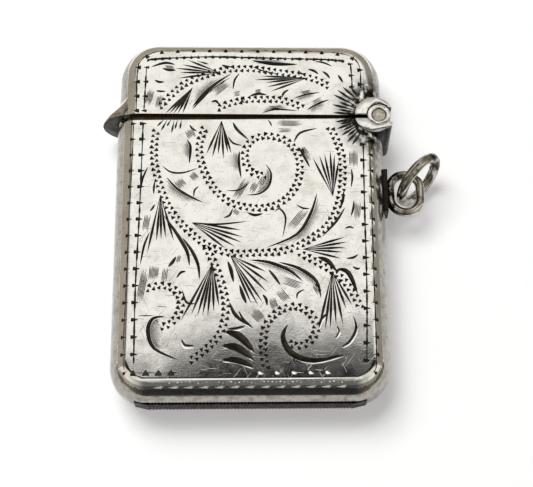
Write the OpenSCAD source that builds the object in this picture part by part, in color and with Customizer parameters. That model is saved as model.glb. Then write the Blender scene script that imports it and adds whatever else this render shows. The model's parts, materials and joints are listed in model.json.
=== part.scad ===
// Silver vesta case: a pocket match case with a sprung lid hinged at one side.
// It lies on its back: +X to the hinge side, +Y to the lid, +Z out of the front face.
// The origin is the middle of the back face. Sizes are in millimetres.

/* [Case] */
// Width of the body across its sides
case_w = 33; // [30:0.1:38]
// Thickness from the back face to the front face
case_t = 8.2; // [7.8:0.1:10]
// Height of the body from its base to its rim
body_h = 35; // [30:0.1:42]
// Height of the lid from its rim to its top
lid_h = 10.8; // [9.6:0.1:14]
// How far the lid's side lies inside the body's side
lid_step = 0.15; // [0:0.01:0.3]
// Gap between the two rims when the lid is shut
parting_gap = 0.45; // [0.3:0.01:0.7]
// How far the lid stands open at rest, in degrees
lid_ajar = 0.9; // [0:0.1:3]
// Thickness of the silver sheet
wall = 0.5; // [0.35:0.01:0.6]
// Radius of the base corners, seen from the front
base_corner_r = 4.6; // [3.4:0.1:6]
// Radius of the lid corners, seen from the front
lid_corner_r = 5; // [3.4:0.1:6]
// How far the rounded edge reaches in from the side
edge_inset = 2.4; // [2.2:0.05:3]
// Radius of the shoulder where the edge meets the face
shoulder_r = 1.5; // [1.3:0.05:1.8]

/* [Mouth bezel] */
// Thickness of the bezel that stands up inside the lid
bezel_t = 0.4; // [0.25:0.01:0.5]
// How far the bezel reaches down inside the body
bezel_depth = 2.2; // [1.2:0.1:4]
// How far the bezel stands up above the body's rim
bezel_rise = 1; // [0.6:0.05:2]
// Gap between the bezel and the inside of the lid
bezel_clearance = 0.12; // [0.08:0.01:0.2]
// Gap between the bezel's ends and the hinge housing
bezel_end_gap = 0.35; // [0.2:0.05:1]

/* [Striker] */
// Distance from each side of the case to the striker's end
striker_margin = 3; // [2.5:0.1:6]
// Height of the striker across the thickness of the case
striker_h = 2.2; // [1.4:0.1:3.4]
// Thickness of the striker strip
striker_t = 0.75; // [0.65:0.01:1.2]
// How far the striker stands proud of the base
striker_proud = 0.12; // [0:0.01:0.3]
// Distance from one tooth to the next
tooth_pitch = 0.4; // [0.35:0.05:1]
// Depth of the grooves between the teeth
tooth_depth = 0.14; // [0.1:0.01:0.3]

/* [Hinge] */
// Diameter of the hinge pin
pin_d = 1.6; // [1.2:0.05:1.9]
// Outer diameter of the knuckles
knuckle_d = 2.84; // [2.7:0.02:3.1]
// Distance from the body's side in to the pin's axis
pin_inset = 0.6; // [0.4:0.05:1]
// Height of the pin's axis above the body's rim
pin_rise = 0.475; // [0.35:0.025:0.6]
// Diameter of the round hinge housing
bearer_d = 4.7; // [4.5:0.05:5.2]
// How far the housing's centre lies inside the pin's axis
bearer_offset = 0.6; // [0.4:0.05:0.7]
// How far the housing stands proud of the front face
bearer_proud = 0.12; // [0.05:0.01:0.3]
// Length of the front knuckle
front_knuckle_l = 2.6; // [2:0.1:2.8]
// Length of the back knuckle
back_knuckle_l = 2.5; // [2:0.1:2.7]
// Gap between neighbouring knuckles
knuckle_gap = 0.1; // [0.05:0.01:0.2]
// Gap round a knuckle where the other half's housing turns past it
knuckle_clearance = 0.12; // [0.08:0.01:0.2]
// Radial clearance of the pin in the lid's knuckle
pin_clearance = 0.05; // [0.01:0.01:0.1]
// Height of the pin's hammered dome on the front
pin_dome = 0.15; // [0.05:0.01:0.3]
// Width and depth of the countersink round the pin's front end
pin_countersink = 0.12; // [0.08:0.01:0.25]
// Angle of the lid housing's horn when shut, up from the hinge side
horn_angle = 32; // [20:1:40]
// How far the lid opens from shut, in degrees
lid_open = 66; // [45:1:70]
// Angle left between the horn and its stop at full opening
stop_slack = 1; // [0.5:0.1:3]
// Diameter of the stop lug
lug_d = 1.44; // [1.2:0.02:1.7]
// Distance from the pin's axis to the lug's centre
lug_reach = 1.45; // [1.3:0.05:1.7]
// Angle of the lug, down from the hinge side
lug_angle = 52; // [45:1:65]

/* [Spring] */
// Thickness of the leaf spring
spring_t = 0.35; // [0.25:0.01:0.4]
// Width of the leaf spring
spring_w = 2.2; // [1.6:0.1:2.4]
// Distance from the pin's axis to the knuckle's cam flats
cam_flat = 1.2; // [1.17:0.01:1.3]
// Gap between the leaf and the cam flat at rest
leaf_gap = 0.02; // [0.01:0.01:0.05]
// How far the leaf's tip reaches above the pin's axis
leaf_tip = 0.9; // [0.6:0.05:1.1]
// How far the straight arm of the leaf runs below the pin's axis
leaf_arm = 3.3; // [2.8:0.1:3.8]
// Gap round the leaf where it passes through the housing
leaf_clearance = 0.12; // [0.08:0.01:0.2]
// Diameter of the rivet shanks
rivet_d = 0.8; // [0.6:0.05:1]
// Diameter of the rivet heads
rivet_head_d = 1.5; // [1.2:0.05:1.8]
// Height of the rivet heads
rivet_head_h = 0.35; // [0.2:0.05:0.6]
// Distance between the two rivets
rivet_spacing = 2.8; // [2:0.1:3.6]

/* [Suspension] */
// Distance from the body's rim down to the loop's centre
loop_drop = 8.3; // [7.6:0.1:16]
// Width of the loop, out from the side
loop_w = 4.8; // [4.6:0.1:6]
// Length of the loop, along the side
loop_l = 6.1; // [6:0.1:7.5]
// Diameter of the loop's wire
loop_wire = 1.1; // [0.9:0.05:1.2]
// Gap between the loop's wire and the side, filled by the pad
loop_stand = 0.2; // [0.1:0.05:0.3]
// Thickness of the pad under the loop
pad_t = 0.4; // [0.35:0.05:0.6]
// Length of the pad, along the side
pad_l = 5.6; // [4.8:0.1:6]
// Width of the pad, across the thickness of the case
pad_w = 2.4; // [1.8:0.1:3]

/* [Jump ring] */
// Outer diameter of the jump ring
ring_d = 7.6; // [7.2:0.05:7.8]
// Diameter of the jump ring's wire
ring_wire = 1.25; // [1:0.05:1.25]
// Width of the split between the wire's ends
ring_split = 0.15; // [0.15:0.05:0.6]
// Depth of the seam between the ring's two half-round turns
ring_seam = 0.16; // [0.05:0.01:0.25]
// Direction that the standing ring points, up from the hinge side
ring_yaw = 47; // [45:1:50]
// How far the standing ring leans from upright, in degrees
ring_lean = 10; // [0:1:20]
// Place of the split, round from the ring's far end
split_angle = 12; // [0:1:60]
// Distance from the loop's centre out to the ring's centre
ring_out = 1.72; // [1.7:0.01:1.9]
// Distance from the loop's centre along the side to the ring's centre
ring_along = 1.82; // [1.6:0.01:1.9]

/* [Thumb-piece] */
// Height of the thumb-piece on the lid's free edge
thumb_h = 5.6; // [4:0.1:7]
// How far the thumb-piece flares out
thumb_out = 2; // [1:0.1:2.2]
// Radius of the thumb-piece, seen from the base
thumb_r = 3.7; // [3.6:0.05:4.1]
// How deep the root of the flare starts under the lid's side
thumb_root = 0.1; // [0.05:0.01:0.2]

/* [Hidden] */
$fn = 64;

// Film of solder between pieces of one body
solder = 0.02;
// Length by which a cut runs past what it cuts
past = 2;
// Overlap that lets the long side arc cross the shoulders cleanly
arc_overlap = 0.01;

half_t = case_t / 2;
lid_w = case_w - 2 * lid_step;
case_l = body_h + parting_gap + lid_h;
base_y = -case_l / 2;
rim_y = base_y + body_h;
lid_rim_y = rim_y + parting_gap;
top_y = lid_rim_y + lid_h;
side_x = case_w / 2;

pin_x = side_x - pin_inset;
pin_y = rim_y + pin_rise;
pin_r = pin_d / 2;
knuckle_r = knuckle_d / 2;
bearer_r = bearer_d / 2;
bearer_x = pin_x - bearer_offset;
housing_front = case_t + bearer_proud;
front_knuckle_z = housing_front - front_knuckle_l;
lid_knuckle_z = back_knuckle_l + knuckle_gap;
lid_knuckle_l = front_knuckle_z - knuckle_gap - lid_knuckle_z;
stop_angle = lid_open - horn_angle + stop_slack;

leaf_face_x = pin_x - cam_flat - leaf_gap;
leaf_sweep_r = norm([cam_flat + leaf_gap + spring_t, leaf_tip]) + leaf_clearance;
side_arc_r = side_radius(half_t, edge_inset, shoulder_r) - arc_overlap - wall;
spring_sag = side_arc_r - sqrt(pow(side_arc_r, 2) - pow(spring_w / 2, 2));
foot_face_x = side_x - wall - spring_sag - solder;

loop_y = rim_y - loop_drop;
loop_r = (loop_w - loop_wire) / 2;
loop_straight = loop_l - loop_w;
loop_x = side_x + loop_stand + loop_w / 2;

ring_r = (ring_d - ring_wire) / 2;
ring_centre = [loop_x + ring_out, loop_y + ring_along, half_t];
split_turn = 2 * asin(ring_split / 2 / ring_r);

thumb_height = min(thumb_h, lid_h - lid_corner_r);
thumb_flare = thumb_out + thumb_root;
thumb_arc_r = (pow(thumb_height, 2) + pow(thumb_flare, 2)) / (2 * thumb_flare);
thumb_root_r = side_radius(half_t, edge_inset, shoulder_r) - thumb_root;

silver = "#c9c6bd";
dark_silver = "#8f8b82";
gilt = "#b89a63";
steel = "#7d8187";

// Radius of the long arc of a side that has a shoulder at each end.
function side_radius(half, inset, shoulder) =
  (pow(half - shoulder, 2) + pow(inset, 2) - pow(shoulder, 2)) / (2 * (inset - shoulder));

// Half a cross-section: flat from the middle out to the shoulders, then the long side arc.
module edge_2d(reach, half, inset, shoulder) {
  side_r = side_radius(half, inset, shoulder) - arc_overlap;
  arc_x = reach - side_r;
  turn = atan2(half - shoulder, side_r - inset);
  far = [2 * side_r * cos(turn), 2 * side_r * sin(turn)];
  translate([0, -half]) square([reach - inset, 2 * half]);
  for (side = [-1, 1])
    translate([reach - inset, side * (half - shoulder)]) circle(r = shoulder);
  intersection() {
    translate([arc_x, 0]) circle(r = side_r);
    polygon([[arc_x, 0], [arc_x + far.x, -far.y], [arc_x + far.x, far.y]]);
  }
}

// Whole cross-section of the case, taken in all round by an amount.
module section_2d(width, inward) {
  for (side = [0, 1])
    mirror([side, 0])
      edge_2d(width / 2 - inward, half_t - inward, edge_inset - inward, shoulder_r - inward);
}

// Front (1) or back (-1) half of the sheet wall at an edge.
module wall_2d(reach, face) {
  intersection() {
    difference() {
      edge_2d(reach, half_t, edge_inset, shoulder_r);
      translate([-past, 0])
        edge_2d(reach - wall + past, half_t - wall, edge_inset - wall, shoulder_r - wall);
    }
    translate([0, face > 0 ? 0 : -case_t]) square([reach + past, case_t]);
  }
}

// A cross-section run along Y between two places, at mid-thickness.
module along_y(from, to) {
  translate([0, to, half_t]) rotate([90, 0, 0]) linear_extrude(to - from) children();
}

// Half of a stamped tray, closed end at y = 0 and open end at y = length.
module tray(width, length, corner, face) {
  flat_x = width / 2 - corner;
  flat_l = length - corner;
  for (side = [0, 1])
    mirror([side, 0, 0])
      translate([flat_x, 0, 0]) {
        translate([0, length, 0]) rotate([90, 0, 0]) linear_extrude(flat_l) wall_2d(corner, face);
        translate([0, corner, 0]) rotate([0, 0, -90]) rotate_extrude(angle = 90) wall_2d(corner, face);
      }
  translate([flat_x, corner, 0])
    rotate([0, 0, -90]) rotate([90, 0, 0]) linear_extrude(2 * flat_x) wall_2d(corner, face);
  translate([-flat_x, corner, face > 0 ? half_t - wall : -half_t]) cube([2 * flat_x, flat_l, wall]);
}

// Turns what belongs to the lid from shut to its rest, a little ajar.
module lid_at_rest() {
  translate([pin_x, pin_y, 0]) rotate([0, 0, -lid_ajar]) translate([-pin_x, -pin_y, 0]) children();
}

// A round bar along Z on the pin's axis.
module on_pin(r, from, to) {
  translate([pin_x, pin_y, from]) cylinder(r = r, h = to - from);
}

// The space that the round hinge housing takes out of the shells.
module housing_space() {
  translate([bearer_x, pin_y, -past]) cylinder(r = bearer_r + solder, h = case_t + 2 * past);
}

// Centre of the stop lug on the body's half of the housing.
module at_lug() {
  translate([pin_x + lug_reach * cos(lug_angle), pin_y - lug_reach * sin(lug_angle), 0]) children();
}

// Rivet places along the side wall.
module at_rivets() {
  for (end = [-1, 1])
    translate([0, loop_y + end * rivet_spacing / 2, half_t]) children();
}

// Half of the body's sheet, with room for the hinge housing, striker and rivets.
module body_shell(face) {
  difference() {
    translate([0, base_y, half_t]) tray(case_w, body_h, base_corner_r, face);
    housing_space();
    at_lug() translate([0, 0, -past]) cylinder(r = lug_d / 2 + solder, h = case_t + 2 * past);
    translate([0, base_y, half_t])
      cube([case_w - 2 * striker_margin + 2 * solder, 2 * striker_t, striker_h + 2 * solder], center = true);
    at_rivets() translate([side_x - past, 0, 0])
      rotate([0, 90, 0]) cylinder(d = rivet_d + 2 * solder, h = 2 * past);
  }
}

module body_front_shell() {
  color(silver) body_shell(1);
}

module body_back_shell() {
  color(silver) body_shell(-1);
}

// Inner rim of the mouth: it fills the body below the rim and steps in to enter the lid.
module mouth_bezel() {
  inner = wall + bezel_clearance + bezel_t;
  end_x = bearer_x - bearer_r - bezel_end_gap;
  color(gilt)
    difference() {
      union() {
        along_y(rim_y - bezel_depth, rim_y) section_2d(case_w, wall + solder);
        along_y(rim_y - bezel_depth, rim_y + bezel_rise) section_2d(lid_w, wall + bezel_clearance);
      }
      along_y(rim_y - bezel_depth - past, rim_y + bezel_rise + past) section_2d(lid_w, inner);
      translate([end_x, rim_y - bezel_depth - past, -past])
        cube([case_w, bezel_depth + bezel_rise + 2 * past, case_t + 2 * past]);
    }
}

// Serrated strip let into the base, teeth across the thickness of the case.
module striker_plate() {
  half_l = case_w / 2 - striker_margin;
  straight = side_x - base_corner_r;
  teeth = floor(2 * min(half_l - tooth_pitch, straight) / tooth_pitch);
  start = -teeth * tooth_pitch / 2;
  face_y = base_y - striker_proud;
  end_run = max(0, half_l - straight);
  end_y = base_y + base_corner_r - sqrt(pow(base_corner_r, 2) - pow(end_run, 2));
  teeth_edge = [
    for (i = [0 : 2 * teeth])
      [start + i * tooth_pitch / 2, face_y + (i % 2) * tooth_depth]
  ];
  back_edge = [
    [half_l, end_y], [half_l, face_y + striker_t],
    [-half_l, face_y + striker_t], [-half_l, end_y]
  ];
  color(dark_silver)
    translate([0, 0, half_t - striker_h / 2])
      linear_extrude(striker_h) polygon(concat(teeth_edge, back_edge));
}

// Half-plane on the +Y side of a line through a point.
module above_line(point, angle) {
  span = 2 * bearer_d;
  translate(point) rotate(angle) translate([-span, 0]) square([2 * span, span]);
}

// Lower half of the housing: carries the outer knuckles, and its lug stops the lid.
module body_hinge_bearer() {
  color(silver)
    difference() {
      linear_extrude(housing_front)
        difference() {
          union() {
            translate([bearer_x, pin_y]) circle(r = bearer_r);
            at_lug() circle(d = lug_d);
          }
          above_line([pin_x, rim_y], 0);
          above_line([pin_x, pin_y], -stop_angle);
        }
      on_pin(knuckle_r + solder, -past, housing_front + past);
      on_pin(knuckle_r + knuckle_clearance, back_knuckle_l, front_knuckle_z);
      translate([leaf_face_x - spring_t / 2, rim_y - bearer_r / 2, half_t])
        cube([spring_t, bearer_r + 2 * past, spring_w] + 2 * leaf_clearance * [1, 0, 1], center = true);
    }
}

// Outer knuckle, soldered to the body's half of the housing.
module outer_knuckle(from, to) {
  difference() {
    on_pin(knuckle_r, from, to);
    on_pin(pin_r + solder, from - past, to + past);
  }
}

// Front knuckle, with a countersink round the pin's end.
module front_knuckle() {
  bore_r = pin_r + solder;
  color(silver)
    difference() {
      outer_knuckle(front_knuckle_z, housing_front);
      translate([pin_x, pin_y, housing_front - pin_countersink])
        cylinder(r1 = bore_r, r2 = bore_r + pin_countersink + past, h = pin_countersink + past);
    }
}

module back_knuckle() {
  color(silver) outer_knuckle(0, back_knuckle_l);
}

// Hinge pin, cut flush at the back and hammered to a low dome in the countersink at the front.
module hinge_pin() {
  dome_r = (pow(pin_r, 2) + pow(pin_dome, 2)) / (2 * pin_dome);
  shaft_end = housing_front - pin_countersink;
  color(dark_silver) {
    on_pin(pin_r, 0, shaft_end);
    intersection() {
      on_pin(pin_r, front_knuckle_z, shaft_end + pin_dome);
      translate([pin_x, pin_y, shaft_end + pin_dome - dome_r]) sphere(r = dome_r);
    }
  }
}

// Bent steel leaf: its foot is riveted to the side wall and its tip presses on the lid's cam.
module hinge_spring() {
  bend_y = pin_y - leaf_arm;
  foot_top = loop_y + pad_l / 2;
  foot_end = loop_y - pad_l / 2;
  tip_y = pin_y + leaf_tip;
  color(steel)
    difference() {
      translate([0, 0, half_t - spring_w / 2])
        linear_extrude(spring_w)
          polygon([
            [leaf_face_x, tip_y], [leaf_face_x, bend_y], [foot_face_x, foot_top], [foot_face_x, foot_end],
            [foot_face_x - spring_t, foot_end], [foot_face_x - spring_t, foot_top],
            [leaf_face_x - spring_t, bend_y], [leaf_face_x - spring_t, tip_y]
          ]);
      at_rivets() translate([foot_face_x - past, 0, 0])
        rotate([0, 90, 0]) cylinder(d = rivet_d + 2 * solder, h = 2 * past);
    }
}

// Two round-headed rivets, flush outside, where the pad covers them.
module spring_rivets() {
  head_x = foot_face_x - spring_t - solder;
  dome_r = (pow(rivet_head_d / 2, 2) + pow(rivet_head_h, 2)) / (2 * rivet_head_h);
  color(silver)
    at_rivets() {
      translate([head_x, 0, 0]) rotate([0, 90, 0]) cylinder(d = rivet_d, h = side_x - 2 * solder - head_x);
      intersection() {
        translate([head_x - rivet_head_h + dome_r, 0, 0]) sphere(r = dome_r);
        translate([head_x - rivet_head_h, 0, 0])
          rotate([0, 90, 0]) cylinder(d = rivet_head_d, h = rivet_head_h);
      }
    }
}

// Long round-ended loop of wire, lying in the plane of mid-thickness.
module loop_wire_solid() {
  translate([loop_x, loop_y, half_t])
    for (end = [0, 1])
      rotate([0, 0, 180 * end]) {
        translate([0, loop_straight / 2, 0])
          rotate_extrude(angle = 180) translate([loop_r, 0]) circle(d = loop_wire);
        translate([loop_r, 0, 0])
          rotate([90, 0, 0]) cylinder(d = loop_wire, h = loop_straight, center = true);
      }
}

module suspension_loop() {
  color(silver) loop_wire_solid();
}

// Pad between the side and the loop, hollowed to seat both.
module loop_pad() {
  color(dark_silver)
    difference() {
      translate([side_x - pad_t, loop_y - pad_l / 2, half_t - pad_w / 2]) cube([2 * pad_t, pad_l, pad_w]);
      along_y(loop_y - pad_l, loop_y + pad_l) section_2d(case_w, -solder);
      loop_wire_solid();
    }
}

// Half of the lid's sheet, with room for the hinge housing.
module lid_shell(face) {
  lid_at_rest()
    difference() {
      translate([0, top_y, half_t]) rotate([0, 0, 180]) tray(lid_w, lid_h, lid_corner_r, face);
      housing_space();
    }
}

module lid_front_shell() {
  color(silver) lid_shell(1);
}

module lid_back_shell() {
  color(silver) lid_shell(-1);
}

// Upper half of the housing: a crescent whose horn meets the lug at full opening.
module lid_hinge_bearer() {
  leaf_z = half_t - spring_w / 2 - leaf_clearance;
  color(silver)
    lid_at_rest()
      difference() {
        linear_extrude(housing_front)
          intersection() {
            translate([bearer_x, pin_y]) circle(r = bearer_r);
            above_line([pin_x, lid_rim_y], 0);
            above_line([pin_x, pin_y], horn_angle);
          }
        on_pin(knuckle_r + solder, -past, housing_front + past);
        on_pin(knuckle_r + knuckle_clearance, -past, back_knuckle_l + knuckle_gap / 2);
        on_pin(knuckle_r + knuckle_clearance, front_knuckle_z - knuckle_gap / 2, housing_front + past);
        intersection() {
          on_pin(leaf_sweep_r, leaf_z, leaf_z + spring_w + 2 * leaf_clearance);
          translate([leaf_face_x + leaf_clearance - bearer_d, pin_y - bearer_d, 0])
            cube([bearer_d, 2 * bearer_d, case_t]);
        }
      }
}

// Middle knuckle, soldered to the lid, with cam flats for the shut and open positions.
module lid_knuckle() {
  color(dark_silver)
    lid_at_rest()
      difference() {
        on_pin(knuckle_r, lid_knuckle_z, lid_knuckle_z + lid_knuckle_l);
        on_pin(pin_r + pin_clearance, lid_knuckle_z - past, lid_knuckle_z + lid_knuckle_l + past);
        for (turn = [0, lid_open])
          translate([pin_x, pin_y, lid_knuckle_z - past])
            rotate([0, 0, turn])
              translate([-cam_flat - knuckle_d, -knuckle_d, 0])
                cube([knuckle_d, 2 * knuckle_d, lid_knuckle_l + 2 * past]);
      }
}

// Flared lip on the lid's free edge: a bell turned about the axis of the rounded side, cut to a small round.
module thumb_piece() {
  bell_x = thumb_root_r + thumb_root - lid_w / 2;
  lip_r = thumb_root_r + thumb_flare;
  color(silver)
    lid_at_rest()
      difference() {
        intersection() {
          translate([bell_x, lid_rim_y, half_t])
            rotate([-90, 0, 0])
              rotate_extrude()
                difference() {
                  square([lip_r, thumb_height]);
                  translate([thumb_root_r + thumb_arc_r, thumb_height]) circle(r = thumb_arc_r);
                }
          along_y(lid_rim_y - past, lid_rim_y + thumb_height + past)
            translate([thumb_r - lid_w / 2 - thumb_out, 0]) circle(r = thumb_r);
        }
        along_y(lid_rim_y - past, lid_rim_y + thumb_height + past) section_2d(lid_w, -solder);
      }
}

// Round wire with a seam inside and outside, where two half-round turns lie together.
module ring_wire_2d() {
  difference() {
    circle(d = ring_wire);
    for (side = [-1, 1])
      translate([side * ring_wire / 2, 0]) rotate(45) square(ring_seam * sqrt(2), center = true);
  }
}

// Split ring standing in the loop.
module jump_ring() {
  color(silver)
    translate(ring_centre)
      rotate([0, 0, ring_yaw]) rotate([90 - ring_lean, 0, 0]) rotate([0, 0, split_angle + split_turn / 2])
        rotate_extrude(angle = 360 - split_turn) translate([ring_r, 0]) ring_wire_2d();
}

body_front_shell();
body_back_shell();
mouth_bezel();
striker_plate();
body_hinge_bearer();
front_knuckle();
back_knuckle();
hinge_pin();
hinge_spring();
spring_rivets();
suspension_loop();
loop_pad();
lid_front_shell();
lid_back_shell();
lid_hinge_bearer();
lid_knuckle();
thumb_piece();
jump_ring();
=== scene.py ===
# %% [markdown]
# An engraved silver vesta case, a pocket case for wax matches, lies on its back on a pale table.
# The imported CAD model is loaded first: it is the fixed frame, and every piece made here rides on
# one of its bodies. All lengths in this file are millimetres until the last moment, when MM turns
# them into Blender's metres.

# %% Load the frame
import bmesh
import bpy
import json
import math
import random
from collections import namedtuple
from mathutils import Matrix, Vector

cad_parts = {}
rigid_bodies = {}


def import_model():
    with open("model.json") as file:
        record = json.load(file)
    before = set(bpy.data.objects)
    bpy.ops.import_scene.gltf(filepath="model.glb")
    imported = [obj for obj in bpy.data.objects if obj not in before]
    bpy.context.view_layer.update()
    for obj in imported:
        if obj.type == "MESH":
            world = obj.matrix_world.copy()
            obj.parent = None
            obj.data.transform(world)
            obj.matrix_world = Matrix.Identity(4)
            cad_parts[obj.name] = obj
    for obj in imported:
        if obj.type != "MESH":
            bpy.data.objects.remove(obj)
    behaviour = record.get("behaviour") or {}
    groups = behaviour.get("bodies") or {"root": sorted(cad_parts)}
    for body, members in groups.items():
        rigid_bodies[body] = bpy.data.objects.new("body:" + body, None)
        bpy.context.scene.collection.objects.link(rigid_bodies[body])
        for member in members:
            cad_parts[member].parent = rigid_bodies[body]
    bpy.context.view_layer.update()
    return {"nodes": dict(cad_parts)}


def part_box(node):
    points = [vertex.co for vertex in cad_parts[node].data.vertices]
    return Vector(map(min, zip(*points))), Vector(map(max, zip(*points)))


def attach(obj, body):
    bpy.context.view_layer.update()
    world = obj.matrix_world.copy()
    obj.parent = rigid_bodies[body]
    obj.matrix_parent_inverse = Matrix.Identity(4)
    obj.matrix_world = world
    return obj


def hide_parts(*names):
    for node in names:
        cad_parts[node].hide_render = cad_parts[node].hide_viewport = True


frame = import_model()
MM = 0.001

# %% [markdown]
# The sizes that the engraving has to follow are read off the CAD boxes, so that the cuts still lie
# on the metal if the case gets thicker or wider. Only the roundings of the stamped sheet and the
# lid's small step are repeated as named values: the flat face ends EDGE_INSET inside the outline, in
# a small shoulder.

# %% Sizes of the case
body_low, body_high = (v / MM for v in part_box("body_front_shell"))
pin_low, pin_high = (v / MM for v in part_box("hinge_pin"))
HALF_W = body_high.x
BASE_Y = body_low.y
CASE_T = body_high.z
PIN = (pin_low + pin_high) / 2
LID_AJAR = math.radians(0.9)
LID_STEP = 0.15
LID_TOP_Y = -BASE_Y
EDGE_INSET = 2.4
SHOULDER_R = 1.5
BASE_CORNER_R = 4.6
LID_CORNER_R = 5.0
print("case:", round(2 * HALF_W, 2), "wide,", round(CASE_T, 2), "thick, pin at", PIN.xy)

# %% [markdown]
# The camera stands where the photographer's did: 21 degrees back from straight above, rolled by
# less than half a degree, with a long lens. Its place was fitted to the outline of the case.

# %% Camera
CAMERA_AT = Vector((1.992, -64.675, 165.113)) * MM
CAMERA_TILT = math.radians(21)
CAMERA_ROLL = math.radians(-0.42)
SENSOR_W = 36
FOCAL_LENGTH = 95.87
NEAREST_SEEN = 10
camera_data = bpy.data.cameras.new("photo_camera")
camera_data.sensor_width = SENSOR_W
camera_data.lens = FOCAL_LENGTH
camera_data.clip_start = NEAREST_SEEN * MM
camera = bpy.data.objects.new("photo_camera", camera_data)
bpy.context.collection.objects.link(camera)
camera.matrix_world = (
    Matrix.Translation(CAMERA_AT)
    @ Matrix.Rotation(CAMERA_TILT, 4, "X")
    @ Matrix.Rotation(CAMERA_ROLL, 4, "Z")
)
bpy.context.scene.camera = camera
bpy.context.scene.view_settings.view_transform = "Standard"
print("camera at", tuple(round(c, 4) for c in CAMERA_AT))


# %% [markdown]
# Materials and the world are trees of nodes. Their colours are written as the hex values that a
# colour picker shows, but Blender computes with linear light, so one function turns the first into
# the second. Adding a node and linking it takes four or five lines each time; a second function
# does it in one, and takes a plain value, a socket or a whole node for each input.

# %% Small helpers for node trees
def linear(hex_colour):
    """Turns an sRGB hex colour such as #f2efe8 into the linear RGBA that Blender's sockets take."""
    parts = [int(hex_colour[i:i + 2], 16) / 255 for i in (1, 3, 5)]
    return [c / 12.92 if c <= 0.04045 else ((c + 0.055) / 1.055) ** 2.4 for c in parts] + [1.0]


def add(tree, kind, inputs=(), **settings):
    """Adds a node with its settings, then sets or links its inputs, by name or in their order."""
    node = tree.nodes.new(kind)
    for name, value in settings.items():
        setattr(node, name, value)
    for name, value in inputs.items() if isinstance(inputs, dict) else enumerate(inputs):
        if isinstance(value, bpy.types.Node):
            value = next(socket for socket in value.outputs if socket.enabled)
        if isinstance(value, bpy.types.NodeSocket):
            tree.links.new(value, node.inputs[name])
        else:
            node.inputs[name].default_value = value
    return node


print("middle grey in linear light:", [round(c, 3) for c in linear("#808080")])

# %% [markdown]
# Polished silver shows little but its surroundings, so the studio matters more than the metal.
# Lamps and cards could be set up all round, but a world that is painted by direction does the same
# with nothing in the way. A direction's Y divided by its Z says how far behind the zenith it points,
# and X divided by Z how far to the side: on these scales a flat sheet overhead has straight edges.

# %% World: directions
LEAST_HEIGHT = 0.02
world = bpy.data.worlds.new("studio")
bpy.context.scene.world = world
world.use_nodes = True
sky = world.node_tree
sky.nodes.clear()
way = add(sky, "ShaderNodeTexCoord")
axes = add(sky, "ShaderNodeSeparateXYZ", (way.outputs["Generated"],))
height = add(sky, "ShaderNodeMath", (axes.outputs["Z"], LEAST_HEIGHT), operation="MAXIMUM")
back_ratio = add(sky, "ShaderNodeMath", (axes.outputs["Y"], height), operation="DIVIDE")
side_ratio = add(sky, "ShaderNodeMath", (axes.outputs["X"], height), operation="DIVIDE")
sideways = add(sky, "ShaderNodeMath", (axes.outputs["X"],), operation="ABSOLUTE")
print("world:", len(sky.nodes), "nodes for directions")

# %% [markdown]
# In the photograph a big bright sheet hangs behind and above the case, and the upper part of the
# face mirrors it. Its front edge gives the soft line across the lower part of the face, which lies a
# little further down on the left. Each pair of numbers is where a change starts and where it is
# complete.

# %% World: the bright sheet
SHEET_EDGE = (0.303, 0.322)
LEFT_OF_MIDDLE = (-0.05, -0.08)
LEFT_LOWER_BY = 0.028
SHEET_FOOT = (0.64, 0.84)
SHEET_LEFT_END = (-0.5, -0.2)
left_step = add(sky, "ShaderNodeMapRange", (side_ratio, *LEFT_OF_MIDDLE, 0.0, LEFT_LOWER_BY))
sheet_edge = add(sky, "ShaderNodeMath", (back_ratio, left_step), operation="ADD")
in_sheet = add(sky, "ShaderNodeMapRange", (sheet_edge, *SHEET_EDGE))
above_foot = add(sky, "ShaderNodeMapRange", (axes.outputs["Z"], *SHEET_FOOT))
hung = add(sky, "ShaderNodeMath", (in_sheet, above_foot), operation="MULTIPLY")
left_end = add(sky, "ShaderNodeMapRange", (side_ratio, *SHEET_LEFT_END))
sheet = add(sky, "ShaderNodeMath", (hung, left_end), operation="MULTIPLY")
print("world: bright sheet from", SHEET_EDGE[1], "behind the zenith")

# %% [markdown]
# The camera's side of the room is dark, and the base and the lower part of the face mirror that
# dark. Low down at the sides and behind, the walls are a warm grey, which gives the case its darker
# edge.

# %% World: walls and the dark front
BEHIND = (-0.6, -0.1)
LOW_DOWN = (0.9, 0.7)
ASIDE = (0.15, 0.7)
RIGHTWARD = (0.2, 0.6)
BELOW_SHEET = (0.0, 0.15)
behind = add(sky, "ShaderNodeMapRange", (axes.outputs["Y"], *BEHIND))
low_down = add(sky, "ShaderNodeMapRange", (axes.outputs["Z"], *LOW_DOWN))
aside = add(sky, "ShaderNodeMapRange", (sideways, *ASIDE))
not_front = add(sky, "ShaderNodeMath", (behind, aside), operation="MAXIMUM")
at_wall = add(sky, "ShaderNodeMath", (not_front, low_down), operation="MULTIPLY")
rightward = add(sky, "ShaderNodeMapRange", (axes.outputs["X"], *RIGHTWARD))
wall = add(
    sky, "ShaderNodeMix",
    {0: rightward, 6: linear("#a59d90"), 7: linear("#8f8a81")}, data_type="RGBA",
)
below_sheet = add(sky, "ShaderNodeMapRange", (back_ratio, *BELOW_SHEET))
dark = add(
    sky, "ShaderNodeMix",
    {0: below_sheet, 6: linear("#454749"), 7: linear("#141517")}, data_type="RGBA",
)
room = add(sky, "ShaderNodeMix", {0: at_wall, 6: dark, 7: wall}, data_type="RGBA")
print("world: grey walls and a dark front")

# %% [markdown]
# The ceiling is pale overhead and at the sides, and grey in the middle, where the camera hangs, and
# towards the front. Between it and the sheet stays a dark gap.

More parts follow.
